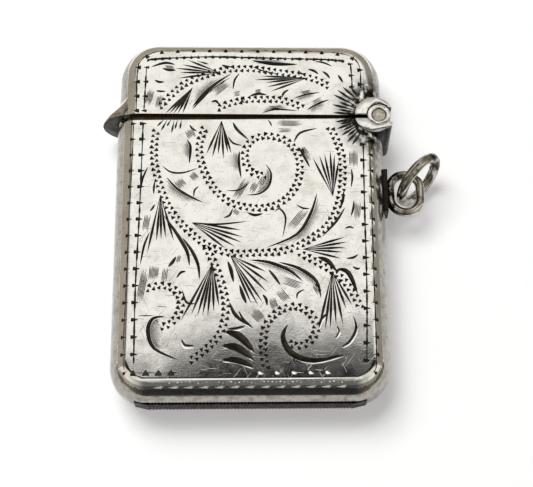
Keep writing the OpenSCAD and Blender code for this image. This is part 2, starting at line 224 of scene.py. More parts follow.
# %% World: the ceiling
CEILING_BACK = (0.13, 0.03)
CEILING_FRONT = (-2.5, -1.7)
PAST_CAMERA = (0.045, 0.08)
OVERHEAD = (-0.5, -0.3)
ceiling_back = add(sky, "ShaderNodeMapRange", (back_ratio, *CEILING_BACK))
ceiling_front = add(sky, "ShaderNodeMapRange", (back_ratio, *CEILING_FRONT))
ceiling = add(sky, "ShaderNodeMath", (ceiling_back, ceiling_front), operation="MULTIPLY")
beside = add(sky, "ShaderNodeMath", (side_ratio,), operation="ABSOLUTE")
past_camera = add(sky, "ShaderNodeMapRange", (beside, *PAST_CAMERA))
overhead = add(sky, "ShaderNodeMapRange", (back_ratio, *OVERHEAD))
pale = add(sky, "ShaderNodeMath", (overhead, aside), operation="MAXIMUM")
lit = add(sky, "ShaderNodeMath", (past_camera, pale), operation="MULTIPLY")
ceiling_colour = add(
    sky, "ShaderNodeMix", {0: lit, 6: linear("#6b6b6a"), 7: linear("#e9e6e0")}, data_type="RGBA",
)
room_lit = add(sky, "ShaderNodeMix", {0: ceiling, 6: room, 7: ceiling_colour}, data_type="RGBA")
print("world: ceiling between", CEILING_FRONT[1], "and", CEILING_BACK[1])

# %% [markdown]
# White is strength 1, and the camera itself sees plain white. The paper gets less of this light
# than the metal mirrors, so that the lamp's soft shadow stays.

# %% World: what each kind of ray sees
DIFFUSE_STRENGTH = 0.45
studio_light = add(
    sky, "ShaderNodeMix", {0: sheet, 6: room_lit, 7: linear("#fffdfa")}, data_type="RGBA",
)
sky_rays = add(sky, "ShaderNodeLightPath")
sky_seen = add(
    sky, "ShaderNodeMix",
    {0: sky_rays.outputs["Is Camera Ray"], 6: studio_light, 7: linear("#ffffff")}, data_type="RGBA",
)
sky_strength = add(
    sky, "ShaderNodeMapRange", {0: sky_rays.outputs["Is Diffuse Ray"], 3: 1.0, 4: DIFFUSE_STRENGTH},
)
sky_out = add(sky, "ShaderNodeBackground", (sky_seen, sky_strength))
add(sky, "ShaderNodeOutputWorld", (sky_out,))
print("world:", len(sky.nodes), "nodes in all")

# %% [markdown]
# The table is a plain pale sheet that just fills the picture, so the sides of the case mirror a
# pale strip near them and the grey room beyond it. It is a diffuse surface, so it keeps the soft
# shadow of the lamp, and a little emission for the rays that see it brings it to the photograph's
# white. It lies a hair below the case, because two faces in one place would flicker.

# %% Table
TABLE_W = 68
TABLE_L = 76
TABLE_BELOW = 0.02
PAPER_GLOW = 0.27
bpy.ops.object.select_all(action="DESELECT")
bpy.ops.mesh.primitive_plane_add(size=1.0, location=(0, 0, -TABLE_BELOW * MM))
table = bpy.context.object
table.name = "table"
table.scale = (TABLE_W * MM, TABLE_L * MM, 1)
bpy.ops.object.transform_apply(location=False, rotation=False, scale=True)
# Matt white paper: it scatters all light alike, and shows no gloss.
paper = bpy.data.materials.new("white_paper")
paper.use_nodes = True
tree = paper.node_tree
tree.nodes.clear()
rays = add(tree, "ShaderNodeLightPath").outputs
seen = 0.0
for kind in ("Is Camera Ray", "Is Glossy Ray", "Is Transmission Ray"):
    seen = add(tree, "ShaderNodeMath", (seen, rays[kind]), operation="MAXIMUM")
lift = add(tree, "ShaderNodeMath", (seen, PAPER_GLOW), operation="MULTIPLY")
matt = add(tree, "ShaderNodeBsdfDiffuse", (linear("#f3f4f5"),))
glow = add(tree, "ShaderNodeEmission", (linear("#ffffff"), lift))
both = add(tree, "ShaderNodeAddShader", (matt, glow))
add(tree, "ShaderNodeOutputMaterial", (both,))
table.data.materials.append(paper)
print("table:", TABLE_W, "by", TABLE_L)

# %% [markdown]
# The shadow in the photograph is soft and falls to the right and towards the camera, so a large lamp
# stands at the back left. It is an area lamp, like a softbox, and the metal doesn't mirror it: the
# bright sheet of the world is there for that.

# %% Lamp
LAMP_AT = Vector((-220, 260, 680)) * MM
LAMP_SIZE = 450
LAMP_POWER = 4.4
lamp_data = bpy.data.lights.new("softbox", "AREA")
lamp_data.size = LAMP_SIZE * MM
lamp_data.energy = LAMP_POWER
lamp = bpy.data.objects.new("softbox", lamp_data)
bpy.context.collection.objects.link(lamp)
aim = LAMP_AT.to_track_quat("Z", "Y").to_matrix().to_4x4()
lamp.matrix_world = Matrix.Translation(LAMP_AT) @ aim
lamp.visible_glossy = False
print("lamp at", tuple(round(c, 2) for c in LAMP_AT))

# %% [markdown]
# Three marks go on some pieces only: dark blots round one spot, which are grime at the hinge and a
# plain darkening at the ring's split and the loop's pad; fine scratches from years in a pocket; and a
# sheet that is no longer quite flat. They are far too shallow to model, so each is a few nodes that
# go on top of a material's colour or bumps. Their scales are real sizes in millimetres.

# %% Marks of use
DARK_SPOT_COLOUR = "#1e1a15"
DARK_SPOT_CORE = 0.62
BLOT_MM = 0.9
BLOTTED = (0.32, 0.52)
SCRATCH_MM = (0.13, 2.6, 2.6)
SCRATCH_TURNS = (0.4, 1.5, 2.5)
SCRATCHED = (0.7, 0.78)
SCRATCH_DEEP = 0.02
WAVE_MM = 4.5


def with_dark_blots(tree, place, shade, dark_spot):
    """Dark blots over a colour, round one spot: its x and y and the radius that is darkened."""
    x, y, spot_r = dark_spot
    off = add(tree, "ShaderNodeVectorMath", (place, (x * MM, y * MM, 0)), operation="SUBTRACT")
    flat = add(tree, "ShaderNodeVectorMath", (off, (1, 1, 0)), operation="MULTIPLY")
    reach = add(tree, "ShaderNodeVectorMath", (flat,), operation="LENGTH")
    near = add(tree, "ShaderNodeMapRange", (reach, spot_r * MM, spot_r * DARK_SPOT_CORE * MM))
    blots = add(
        tree, "ShaderNodeTexNoise", {"Vector": place, "Scale": 1 / (BLOT_MM * MM), "Detail": 5.0},
    )
    smear = add(tree, "ShaderNodeMapRange", (blots, *BLOTTED))
    darkened_share = add(tree, "ShaderNodeMath", (near, smear), operation="MULTIPLY")
    return add(
        tree, "ShaderNodeMix", {0: darkened_share, 6: shade, 7: linear(DARK_SPOT_COLOUR)}, data_type="RGBA",
    )


def with_scratches(tree, place, bumps, strength):
    """Fine scratches in a few directions: noise that is drawn out along each."""
    for turn in SCRATCH_TURNS:
        drawn = add(
            tree, "ShaderNodeMapping",
            {"Vector": place, "Rotation": (0, 0, turn), "Scale": [mm * MM for mm in SCRATCH_MM]},
            vector_type="TEXTURE",
        )
        lines = add(tree, "ShaderNodeTexNoise", {"Vector": drawn, "Scale": 1.0, "Detail": 1.0})
        scratch = add(tree, "ShaderNodeMapRange", (lines, *SCRATCHED))
        bumps = add(
            tree, "ShaderNodeBump",
            {"Height": scratch, "Strength": strength, "Distance": SCRATCH_DEEP * MM, "Normal": bumps},
            invert=True,
        )
    return bumps


def with_waves(tree, place, bumps, deep):
    """A sheet that is slightly wavy after years of use."""
    wave = add(
        tree, "ShaderNodeTexNoise", {"Vector": place, "Scale": 1 / (WAVE_MM * MM), "Detail": 1.5},
    )
    return add(
        tree, "ShaderNodeBump",
        {"Height": wave, "Strength": 1.0, "Distance": deep * MM, "Normal": bumps},
    )


print("marks of use: grime,", len(SCRATCH_TURNS), "directions of scratches, waves of", WAVE_MM)


# %% [markdown]
# Every visible metal but the spring is silver, and what differs is how each surface was worked and
# how much tarnish it keeps. A flat colour would look like plastic, so one function builds them all
# in the same way: one noise gives stains and uneven gloss, the cells of a Voronoi texture give pits,
# and a fine noise gives grain. The marks of use come on top where a piece has them.

# %% How a metal is made
STAINED = (0.45, 0.75)
GLOSS_PATCHES = (0.3, 0.7)
GLOSS_SPREAD = (0.7, 1.4)
PIT_EDGE = (0.16, 0.06)
PIT_COLOUR = "#2a2620"
GRAIN_MM = 0.14
GRAIN_DEEP = 0.012


def metal(name, colour, roughness, stain, stain_amount, patch_mm, pit_mm=0.6, pits=0.5,
          wave_deep=0.0, grain=0.25, scratches=0.0, dark_spot=None):
    """A metal with stains, uneven gloss, pits and grain, and with marks of use where asked."""
    material = bpy.data.materials.new(name)
    material.use_nodes = True
    tree = material.node_tree
    tree.nodes.clear()
    place = add(tree, "ShaderNodeTexCoord").outputs["Object"]
    patches = add(
        tree, "ShaderNodeTexNoise",
        {"Vector": place, "Scale": 1 / (patch_mm * MM), "Detail": 6.0, "Roughness": 0.65},
    )
    stained = add(tree, "ShaderNodeMapRange", (patches, *STAINED, 0.0, stain_amount))
    shade = add(
        tree, "ShaderNodeMix", {0: stained, 6: linear(colour), 7: linear(stain)}, data_type="RGBA",
    )
    gloss_range = [roughness * share for share in GLOSS_SPREAD]
    gloss = add(tree, "ShaderNodeMapRange", (patches, *GLOSS_PATCHES, *gloss_range))
    cells = add(
        tree, "ShaderNodeTexVoronoi",
        {"Vector": place, "Scale": 1 / (pit_mm * MM), "Randomness": 1.0},
    )
    pit = add(tree, "ShaderNodeMapRange", (cells, *PIT_EDGE, 0.0, pits))
    shade = add(
        tree, "ShaderNodeMix", {0: pit, 6: shade, 7: linear(PIT_COLOUR)}, data_type="RGBA",
    )
    if dark_spot:
        shade = with_dark_blots(tree, place, shade, dark_spot)
    fine = add(
        tree, "ShaderNodeTexNoise", {"Vector": place, "Scale": 1 / (GRAIN_MM * MM), "Detail": 2.0},
    )
    bumps = add(
        tree, "ShaderNodeBump", {"Height": fine, "Strength": grain, "Distance": GRAIN_DEEP * MM},
    )
    if scratches:
        bumps = with_scratches(tree, place, bumps, scratches)
    if wave_deep:
        bumps = with_waves(tree, place, bumps, wave_deep)
    surface = add(
        tree, "ShaderNodeBsdfPrincipled",
        {"Base Color": shade, "Roughness": gloss, "Metallic": 1.0, "Normal": bumps},
    )
    add(tree, "ShaderNodeOutputMaterial", (surface,))
    return material


print("metals: grain of", GRAIN_MM, "and pits up to", PIT_EDGE[0], "of their spacing")

# %% [markdown]
# The four stampings show five finishes. The faces are burnished by the pocket, the engraver's cuts
# hold dark silver sulphide, some cuts are bright, the sides are pitted and darker, which is painted
# shade for their dimmer reflection, and the inside has a gilt wash that kept match heads from
# staining the silver. Grime has settled round the hinge.

# %% Finishes of the stampings
HINGE_GRIME = (PIN.x, PIN.y, 6.0)
# Burnished sterling silver: almost white, a soft mirror, faintly warm where it is stained.
face_silver = metal(
    "burnished_silver", "#f2f1ec", 0.075, "#b5ad9f", 0.5, 2.0, pit_mm=0.45, pits=0.7,
    wave_deep=0.014, grain=0.1, scratches=0.2, dark_spot=HINGE_GRIME,
)
# Engraver's cuts: facets darkened by silver sulphide.
cut_silver = metal("tarnished_cut_silver", "#4a4640", 0.3, "#1b1815", 0.9, 1.0)
# Bright cuts: facets that the polished heel of the graver burnishes as it cuts.
bright_silver = metal("bright_cut_silver", "#fbfaf6", 0.12, "#d8d2c6", 0.3, 0.8, pits=0.3)
# Sides: silver pitted by keys and coins, darker than the face as painted shade for their dim
# reflection.
pitted_shaded_side_silver = metal(
    "pitted_side_silver_painted_shade", "#a8a49c", 0.12, "#5f5a53", 0.9, 0.9, pit_mm=0.5, pits=1.0,
    dark_spot=HINGE_GRIME,
)
# Gilt wash: a thin layer of gold over silver, brown and worn through in places.
gilt = metal("worn_gilt", "#b3925c", 0.25, "#8f8676", 0.8, 2.5)
SHEET_FINISHES = (face_silver, cut_silver, pitted_shaded_side_silver, gilt, bright_silver)
FACE_SLOT, CUT_SLOT, SIDE_SLOT, GILT_SLOT, BRIGHT_SLOT = range(len(SHEET_FINISHES))
print("stampings:", [finish.name for finish in SHEET_FINISHES])

# %% [markdown]
# The fittings are silver too, each worn in its own way: what the hand rubs is bright, and what no
# cloth reaches is tarnished brown to black, which on the pad between the loop and the case is painted
# shade as well. The CAD nodes whose shape is right take these finishes as they are. The ring is
# darker round its split, and the loop towards its pad.

# %% Finishes of the fittings
ring_low, ring_high = (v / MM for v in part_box("jump_ring"))
loop_low, loop_high = (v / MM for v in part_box("suspension_loop"))
SPLIT_INSET = 0.7
# The ring is darker round its split and the loop round its pad, as blots over their colour.
SPLIT_DARKENING = (ring_high.x - SPLIT_INSET, ring_high.y - SPLIT_INSET, 1.1)
PAD_DARKENING = (loop_low.x, (loop_low.y + loop_high.y) / 2, 4.2)
# Fittings: silver worn by the hand, brown where the hand doesn't reach.
fitting_silver = metal("worn_silver", "#dad6cc", 0.18, "#7a6e5d", 0.7, 1.2, pits=0.8)
# Ring: handled, with heavy dark stains at random, and darker round the split.
ring_silver = metal(
    "handled_silver", "#c6c1b6", 0.14, "#3f382f", 0.95, 0.9, pits=0.8, dark_spot=SPLIT_DARKENING,
)
# Loop: as the ring, and darker where it meets the pad.
loop_silver = metal(
    "silver_darker_at_pad", "#d2cdc2", 0.16, "#5d5346", 0.9, 1.0, pits=0.8, dark_spot=PAD_DARKENING,
)
# Hinge plates: filed and rubbed bright, with stains in the file marks.
plate_silver = metal("filed_silver", "#f7f6f2", 0.16, "#9c9384", 0.6, 0.8, pits=0.9)
# Thumb-piece: strong dark stains and bright rubbed spots at random; its underside gets painted shade
# when it is dressed below.
thumb_silver = metal("rubbed_silver", "#e4dfd4", 0.16, "#14100c", 1.0, 0.6, pits=0.9)
# Recessed silver, which no cloth reaches: matt and nearly black. It is tarnish, and painted shade
# on the pad and on the walls and undersides that are picked by their direction further down.
tarnish_and_shade_silver = metal("tarnish_and_painted_shade_silver", "#332e28", 0.34, "#15120f", 0.9, 0.8)
# Pin: hammered end, rough and brownish.
pin_silver = metal("hammered_silver", "#f0e9dc", 0.4, "#5d5140", 0.9, 0.4, pit_mm=0.3, pits=0.9)
# Striker: serrated silver, near black all over.
striker_silver = metal("struck_silver", "#151412", 0.45, "#0e0d0c", 0.9, 0.7)
# Mouth bezel: the gilt wash again, darkened as painted shade for the narrow gap where it shows.
gilt_with_gap_shade = metal("gilt_with_painted_gap_shade", "#5d4e38", 0.35, "#241e17", 0.9, 1.0)
# Blued spring steel: a dark blue-grey, straw-brown where it was heated less.
spring_steel = metal("blued_steel", "#4d535c", 0.28, "#7a6a4a", 0.5, 1.2)

finishes = {
    fitting_silver: ["back_knuckle", "spring_rivets"],
    ring_silver: ["jump_ring"],
    loop_silver: ["suspension_loop"],
    # The pad's near-black silver is partly painted shade between the loop and the case.
    tarnish_and_shade_silver: ["lid_knuckle", "loop_pad"],
    pin_silver: ["hinge_pin"],
    striker_silver: ["striker_plate"],
    gilt_with_gap_shade: ["mouth_bezel"],
    spring_steel: ["hinge_spring"],
}
for finish, nodes in finishes.items():
    for name in nodes:
        frame["nodes"][name].data.materials.clear()
        frame["nodes"][name].data.materials.append(finish)
print("fittings:", [finish.name for finish in finishes])


# %% [markdown]
# Bright-cut engraving is made with a polished graver that takes out a V of metal: it goes in, widens
# and comes out, so every stroke is pointed. A bump in the material would look painted on. A Blender
# curve makes the real form when its bevel has four sides and each point has its own radius: it is a
# tapered bar with a V underneath. The bars are made into meshes and taken out of the sheet with
# Boolean modifiers, so the ornament is real cut metal. Only a few points of each stroke are given,
# and a smooth curve is run through them.

# %% How a stroke runs
def smooth(points, steps=4):
    """A Catmull-Rom curve through a few points."""
    ends = [points[0]] + list(points) + [points[-1]]
    path = []
    for a, b, c, d in zip(ends, ends[1:], ends[2:], ends[3:]):
        for i in range(steps):
            t = i / steps
            path.append(tuple(
                0.5 * (
                    2 * q + (r - p) * t + (2 * p - 5 * q + 4 * r - s) * t * t
                    + (3 * q - p - 3 * r + s) * t ** 3
                )
                for p, q, r, s in zip(a, b, c, d)
            ))
    return path + [tuple(points[-1])]


print("three points make a path of", len(smooth([(0, 0), (1, 1), (2, 0)])))

# %% [markdown]
# The bars have to follow the metal. A front is flat, then falls off in a small shoulder, then in the
# big arc of the side, and it has round corners. A ray cast could find its height, but the same three
# forms, given as formulas, are exact and quick. The lid is turned by the little that it lies ajar.

# %% How high the metal is under a stroke
SIDE_H = CASE_T / 2 - SHOULDER_R
SIDE_R = (SIDE_H ** 2 + EDGE_INSET ** 2 - SHOULDER_R ** 2) / (2 * (EDGE_INSET - SHOULDER_R))
SIDE_TURN = math.atan2(SIDE_H, SIDE_R - EDGE_INSET)
SIDE_REACH = SIDE_R * (1 - math.cos(SIDE_TURN))


def drop_from_edge(inside):
    """How far the rounded edge lies below the face, at a distance inside the outline."""
    if inside >= EDGE_INSET:
        return 0.0
    if inside > SIDE_REACH:
        return SHOULDER_R - math.sqrt(SHOULDER_R ** 2 - (EDGE_INSET - inside) ** 2)
    return CASE_T / 2 - math.sqrt(SIDE_R ** 2 - (SIDE_R - max(inside, 0.0)) ** 2)


def inside_outline(from_side, from_end, corner):
    """Distance inside a rounded corner's outline."""
    if from_side < corner and from_end < corner:
        return corner - math.hypot(corner - from_side, corner - from_end)
    return min(from_side, from_end)


def body_height(x, y):
    """Height of the body's front at a place."""
    return CASE_T - drop_from_edge(inside_outline(HALF_W - abs(x), y - BASE_Y, BASE_CORNER_R))


def lid_height(x, y):
    """Height of the lid's front at a place, with the lid ajar as in the frame."""
    turned = Matrix.Rotation(LID_AJAR, 2) @ Vector((x - PIN.x, y - PIN.y)) + PIN.xy
    from_side = HALF_W - LID_STEP - abs(turned.x)
    return CASE_T - drop_from_edge(inside_outline(from_side, LID_TOP_Y - turned.y, LID_CORNER_R))


print("side's arc: radius", round(SIDE_R, 2), "up to", round(SIDE_REACH, 2), "inside the outline")


# %% [markdown]
# The engraver has a few moves. Some are single strokes: the leaf (one swelling stroke, with fine
# lines that shade one side of it), the ray (thin, then thick, then fading) and the fan of rays. Each
# move is a function that gives strokes: points in millimetres with a half-width at each.

# %% The engraver's strokes: leaf, ray and fan
LEAF_TIP = 0.012
LEAF_SWELL = 0.75
SHADE_PITCH = 0.11
SHADE_OVERLAP = 0.04
SHADE_HALF = 0.045
SHADE_TIP = 0.008
SHADE_INSET = 0.12
SHADE_TAPER = 0.22
# Share of the way along a ray, and of its width there.
RAY_FORM = ((0.0, 0.14), (0.25, 0.36), (0.5, 0.8), (0.68, 1.0), (0.85, 0.6), (1.0, 0.06))


def leaf(points, width, shade=0.0):
    """One swelling stroke, pointed at both ends, and fine lines that shade one side of it."""
    path = smooth(points)
    last = len(path) - 1
    strokes = [[
        (x, y, max(LEAF_TIP, width / 2 * math.sin(math.pi * i / last) ** LEAF_SWELL))
        for i, (x, y) in enumerate(path)
    ]]
    lines = int(abs(shade) / SHADE_PITCH)
    for k in range(1, lines + 1):
        off = math.copysign(width / 2 + SHADE_PITCH * k - SHADE_OVERLAP, shade)
        # Lines further out are shorter and thinner.
        cut = int(last * (SHADE_INSET + SHADE_TAPER * k / lines))
        part = path[cut:last - cut + 1]
        if len(part) < 3:
            break
        half = SHADE_HALF * (1.05 - k / lines)
        line = []
        for (ax, ay), (bx, by) in zip(part, part[1:]):
            length = math.hypot(bx - ax, by - ay)
            line.append((ax - (by - ay) / length * off, ay + (bx - ax) / length * off, half))
        line[0] = line[0][:2] + (SHADE_TIP,)
        line[-1] = line[-1][:2] + (SHADE_TIP,)
        strokes.append(line)
    return strokes


def ray(start, end, width):
    """A stroke that starts thin, swells past the middle and fades to a point."""
    return [[
        (start[0] + (end[0] - start[0]) * t, start[1] + (end[1] - start[1]) * t, width / 2 * w)
        for t, w in RAY_FORM
    ]]


def fan(apex, ends, width):
    """Rays from one point."""
    return [stroke for end in ends for stroke in ray(apex, end, width)]


print("a shaded leaf has", len(leaf([(0, 0), (2, 1), (4, 0)], 0.4, 0.6)), "strokes")


# %% [markdown]
# The other moves repeat one mark. The stem is wriggle work: the graver rocks from side to side and
# leaves two rows of triangular nicks. The border is a thin line with nicks across it, and hatching
# is a patch of fine parallel lines. A hand is never quite even, so sizes vary a little, by a random
# generator with a fixed seed, which gives the same result each run.

# %% The engraver's rows: stem, border and hatching
# Share of a nick's length from its middle, and of its width there.
NICK_FORM = ((-0.5, 0.36), (-0.34, 0.5), (0.5, 0.06))
STEM_PITCH = 0.74
STEM_W = 0.46
STEM_NICK = (0.52, 0.5)
STEM_UNEVEN = (0.85, 1.12)
ROCK_ALONG = 0.45
ROCK_ACROSS = 0.89
LINE_STEP = 0.5
LINE_UNEVEN = (0.5, 1.4)
HATCH_PITCH = 0.15
HATCH_UNEVEN = (0.7, 1.0)
HATCH_SLIP = (-0.06, 0.06)
HATCH_HALF = 0.05
HATCH_TIP = 0.01
# Share of a hatching line's half-length from its middle, and the half-width there.
HATCH_FORM = ((-1, HATCH_TIP), (-0.5, HATCH_HALF), (0.5, HATCH_HALF), (1, HATCH_TIP))
chance = random.Random(7)


def along(points, pitch):
    """Places at an even pitch along a smooth path, each with its direction."""
    path = smooth(points, 8)
    places, left = [], 0.0
    for (ax, ay), (bx, by) in zip(path, path[1:]):
        length = math.hypot(bx - ax, by - ay)
        while length > 0 and left <= length:
            t = left / length
            direction = ((bx - ax) / length, (by - ay) / length)
            places.append((ax + (bx - ax) * t, ay + (by - ay) * t, *direction))
            left += pitch
        left -= length
    return places


def nick(x, y, dx, dy, length, width):
    """A triangular nick: broad where the graver digs in, pointed where it comes out."""
    return [(x + dx * length * t, y + dy * length * t, width * w) for t, w in NICK_FORM]


def wriggle(points):
    """A stem: the graver rocks from side to side, digging in at each side in turn."""
    strokes = []
    for i, (x, y, dx, dy) in enumerate(along(points, STEM_PITCH / 2)):
        side = 1 if i % 2 else -1
        out_x, out_y = -dy * side, dx * side
        turn_x = dx * ROCK_ALONG - out_x * ROCK_ACROSS
        turn_y = dy * ROCK_ALONG - out_y * ROCK_ACROSS
        size = chance.uniform(*STEM_UNEVEN)
        strokes.append(nick(
            x + out_x * STEM_W / 2, y + out_y * STEM_W / 2, turn_x, turn_y,
            STEM_NICK[0] * size, STEM_NICK[1] * size,
        ))
    return strokes


def border(points, pitch, width, nick_length, nick_width):
    """A thin line of uneven width, and the nicks across it."""
    line = [
        (x, y, width / 2 * chance.uniform(*LINE_UNEVEN)) for x, y, _, _ in along(points, LINE_STEP)
    ]
    nicks = [nick(x, y, -dy, dx, nick_length, nick_width) for x, y, dx, dy in along(points, pitch)]
    return line, nicks


def hatch(centre, length, width, angle):
    """Fine parallel lines that shade a patch."""
    strokes = []
    turn = math.radians(angle)
    ux, uy = math.cos(turn), math.sin(turn)
    lines = max(3, round(width / HATCH_PITCH) + 1)
    for i in range(lines):
        off = (i / (lines - 1) - 0.5) * width
        half = length / 2 * chance.uniform(*HATCH_UNEVEN)
        slip = length * chance.uniform(*HATCH_SLIP)
        cx, cy = centre[0] - uy * off + ux * slip, centre[1] + ux * off + uy * slip
        strokes.append([(cx + ux * half * t, cy + uy * half * t, w) for t, w in HATCH_FORM])
    return strokes


print("a stem of 10 has", len(along([(0, 0), (10, 0)], STEM_PITCH / 2)), "nicks")

# %% [markdown]
# The ornament of the body starts with its stems, as the engraver does: one sweeps round as a U, a
# second coils inside it, and four more branch off below. Fans of rays then fill the forks.

# %% Stems and fans of the body
body_stems = [
    [(-11.4, 10.4), (-11.6, 8.0), (-11.4, 5.6), (-10.7, 2.8), (-9.5, 0.0), (-7.6, -2.4),
     (-5.2, -4.5), (-2.4, -5.6), (1.0, -5.6), (4.4, -5.3), (7.2, -3.9), (9.5, -1.9),
     (10.7, 0.7), (11.2, 3.6), (11.2, 6.8), (10.5, 9.3), (9.7, 10.9)],
    [(-5.5, 10.7), (-6.1, 8.2), (-5.7, 5.6), (-4.4, 2.9), (-2.4, 0.9), (0.4, 0.15),
     (2.9, 0.4), (4.9, 1.8), (6.0, 4.2), (5.9, 7.0), (4.5, 8.9), (2.4, 9.6),
     (0.5, 9.2), (-0.5, 7.6), (-0.3, 5.6), (0.8, 4.5), (2.1, 4.4)],
    [(-5.1, -4.9), (-3.9, -7.6), (-3.1, -10.2), (-2.8, -12.6), (-3.4, -15.4), (-5.2, -17.5),
     (-7.2, -19.0)],
    [(-12.0, -10.0), (-10.6, -9.6), (-9.0, -10.0), (-8.1, -11.3), (-8.2, -12.8), (-9.1, -14.2),
     (-10.3, -14.7)],
    [(6.0, -5.7), (8.3, -7.1), (10.3, -8.4), (11.9, -10.4), (13.0, -12.8)],
    [(1.8, -19.7), (1.5, -17.0), (1.9, -14.6), (3.2, -13.0), (5.2, -12.3), (7.0, -13.2),
     (7.7, -15.0), (6.9, -16.6), (5.4, -17.1), (4.2, -16.6)],
]
body_fans = [
    ((-3.4, 11.7),
     [(-5.2, 7.3), (-4.5, 6.8), (-3.8, 7.2), (-3.15, 6.6), (-2.6, 7.4), (-2.2, 7.3)], 0.3),
    ((-6.9, -1.7), [(-1.0, -2.7), (-0.8, -3.6), (-0.9, -4.3), (-1.7, -4.8), (-2.9, -5.0)], 0.32),
    ((-10.7, 1.9),
     [(-12.1, -5.5), (-11.05, -4.0), (-10.5, -3.8), (-9.95, -3.6), (-9.0, -4.0)], 0.32),
    ((10.0, 1.6), [(7.7, 6.6), (8.5, 6.9), (9.1, 7.2), (9.8, 7.6), (10.3, 7.0), (10.8, 6.2)], 0.3),
    ((6.3, -5.2), [(11.3, -3.7), (11.6, -4.3), (11.3, -5.0), (11.0, -5.6), (10.8, -6.4)], 0.3),
    ((-4.4, -6.9),
     [(-8.0, -13.9), (-6.8, -13.2), (-6.1, -13.4), (-5.5, -13.3), (-4.9, -13.4), (-4.2, -12.9),
      (-3.6, -12.2)], 0.34),
    ((-2.3, -5.9),
     [(1.9, -8.0), (2.2, -9.3), (2.0, -10.5), (1.5, -11.8), (1.0, -12.2), (0.2, -12.0)], 0.32),
    ((9.7, -8.0),
     [(8.0, -14.9), (8.7, -15.2), (9.3, -15.0), (10.0, -14.5), (10.8, -14.6), (11.2, -12.6),
      (11.9, -12.2)], 0.32),
]
body_rays = [
    ((-10.4, 12.0), (-11.3, 11.0)), ((-10.0, 12.0), (-10.8, 10.4)), ((-9.6, 11.9), (-10.1, 11.0)),
    ((-9.2, 11.9), (-9.5, 10.1)), ((-8.8, 11.9), (-9.1, 10.6)), ((-8.3, 11.9), (-8.5, 10.6)),
]
print("body:", len(body_stems), "stems and", len(body_fans), "fans")

# %% [markdown]
# Leaves follow the curves of the stems and fill what is left. Each has its points, its width and,
# for some, how far fine lines shade it: to the left of its run if that is above zero, else to the
# right.

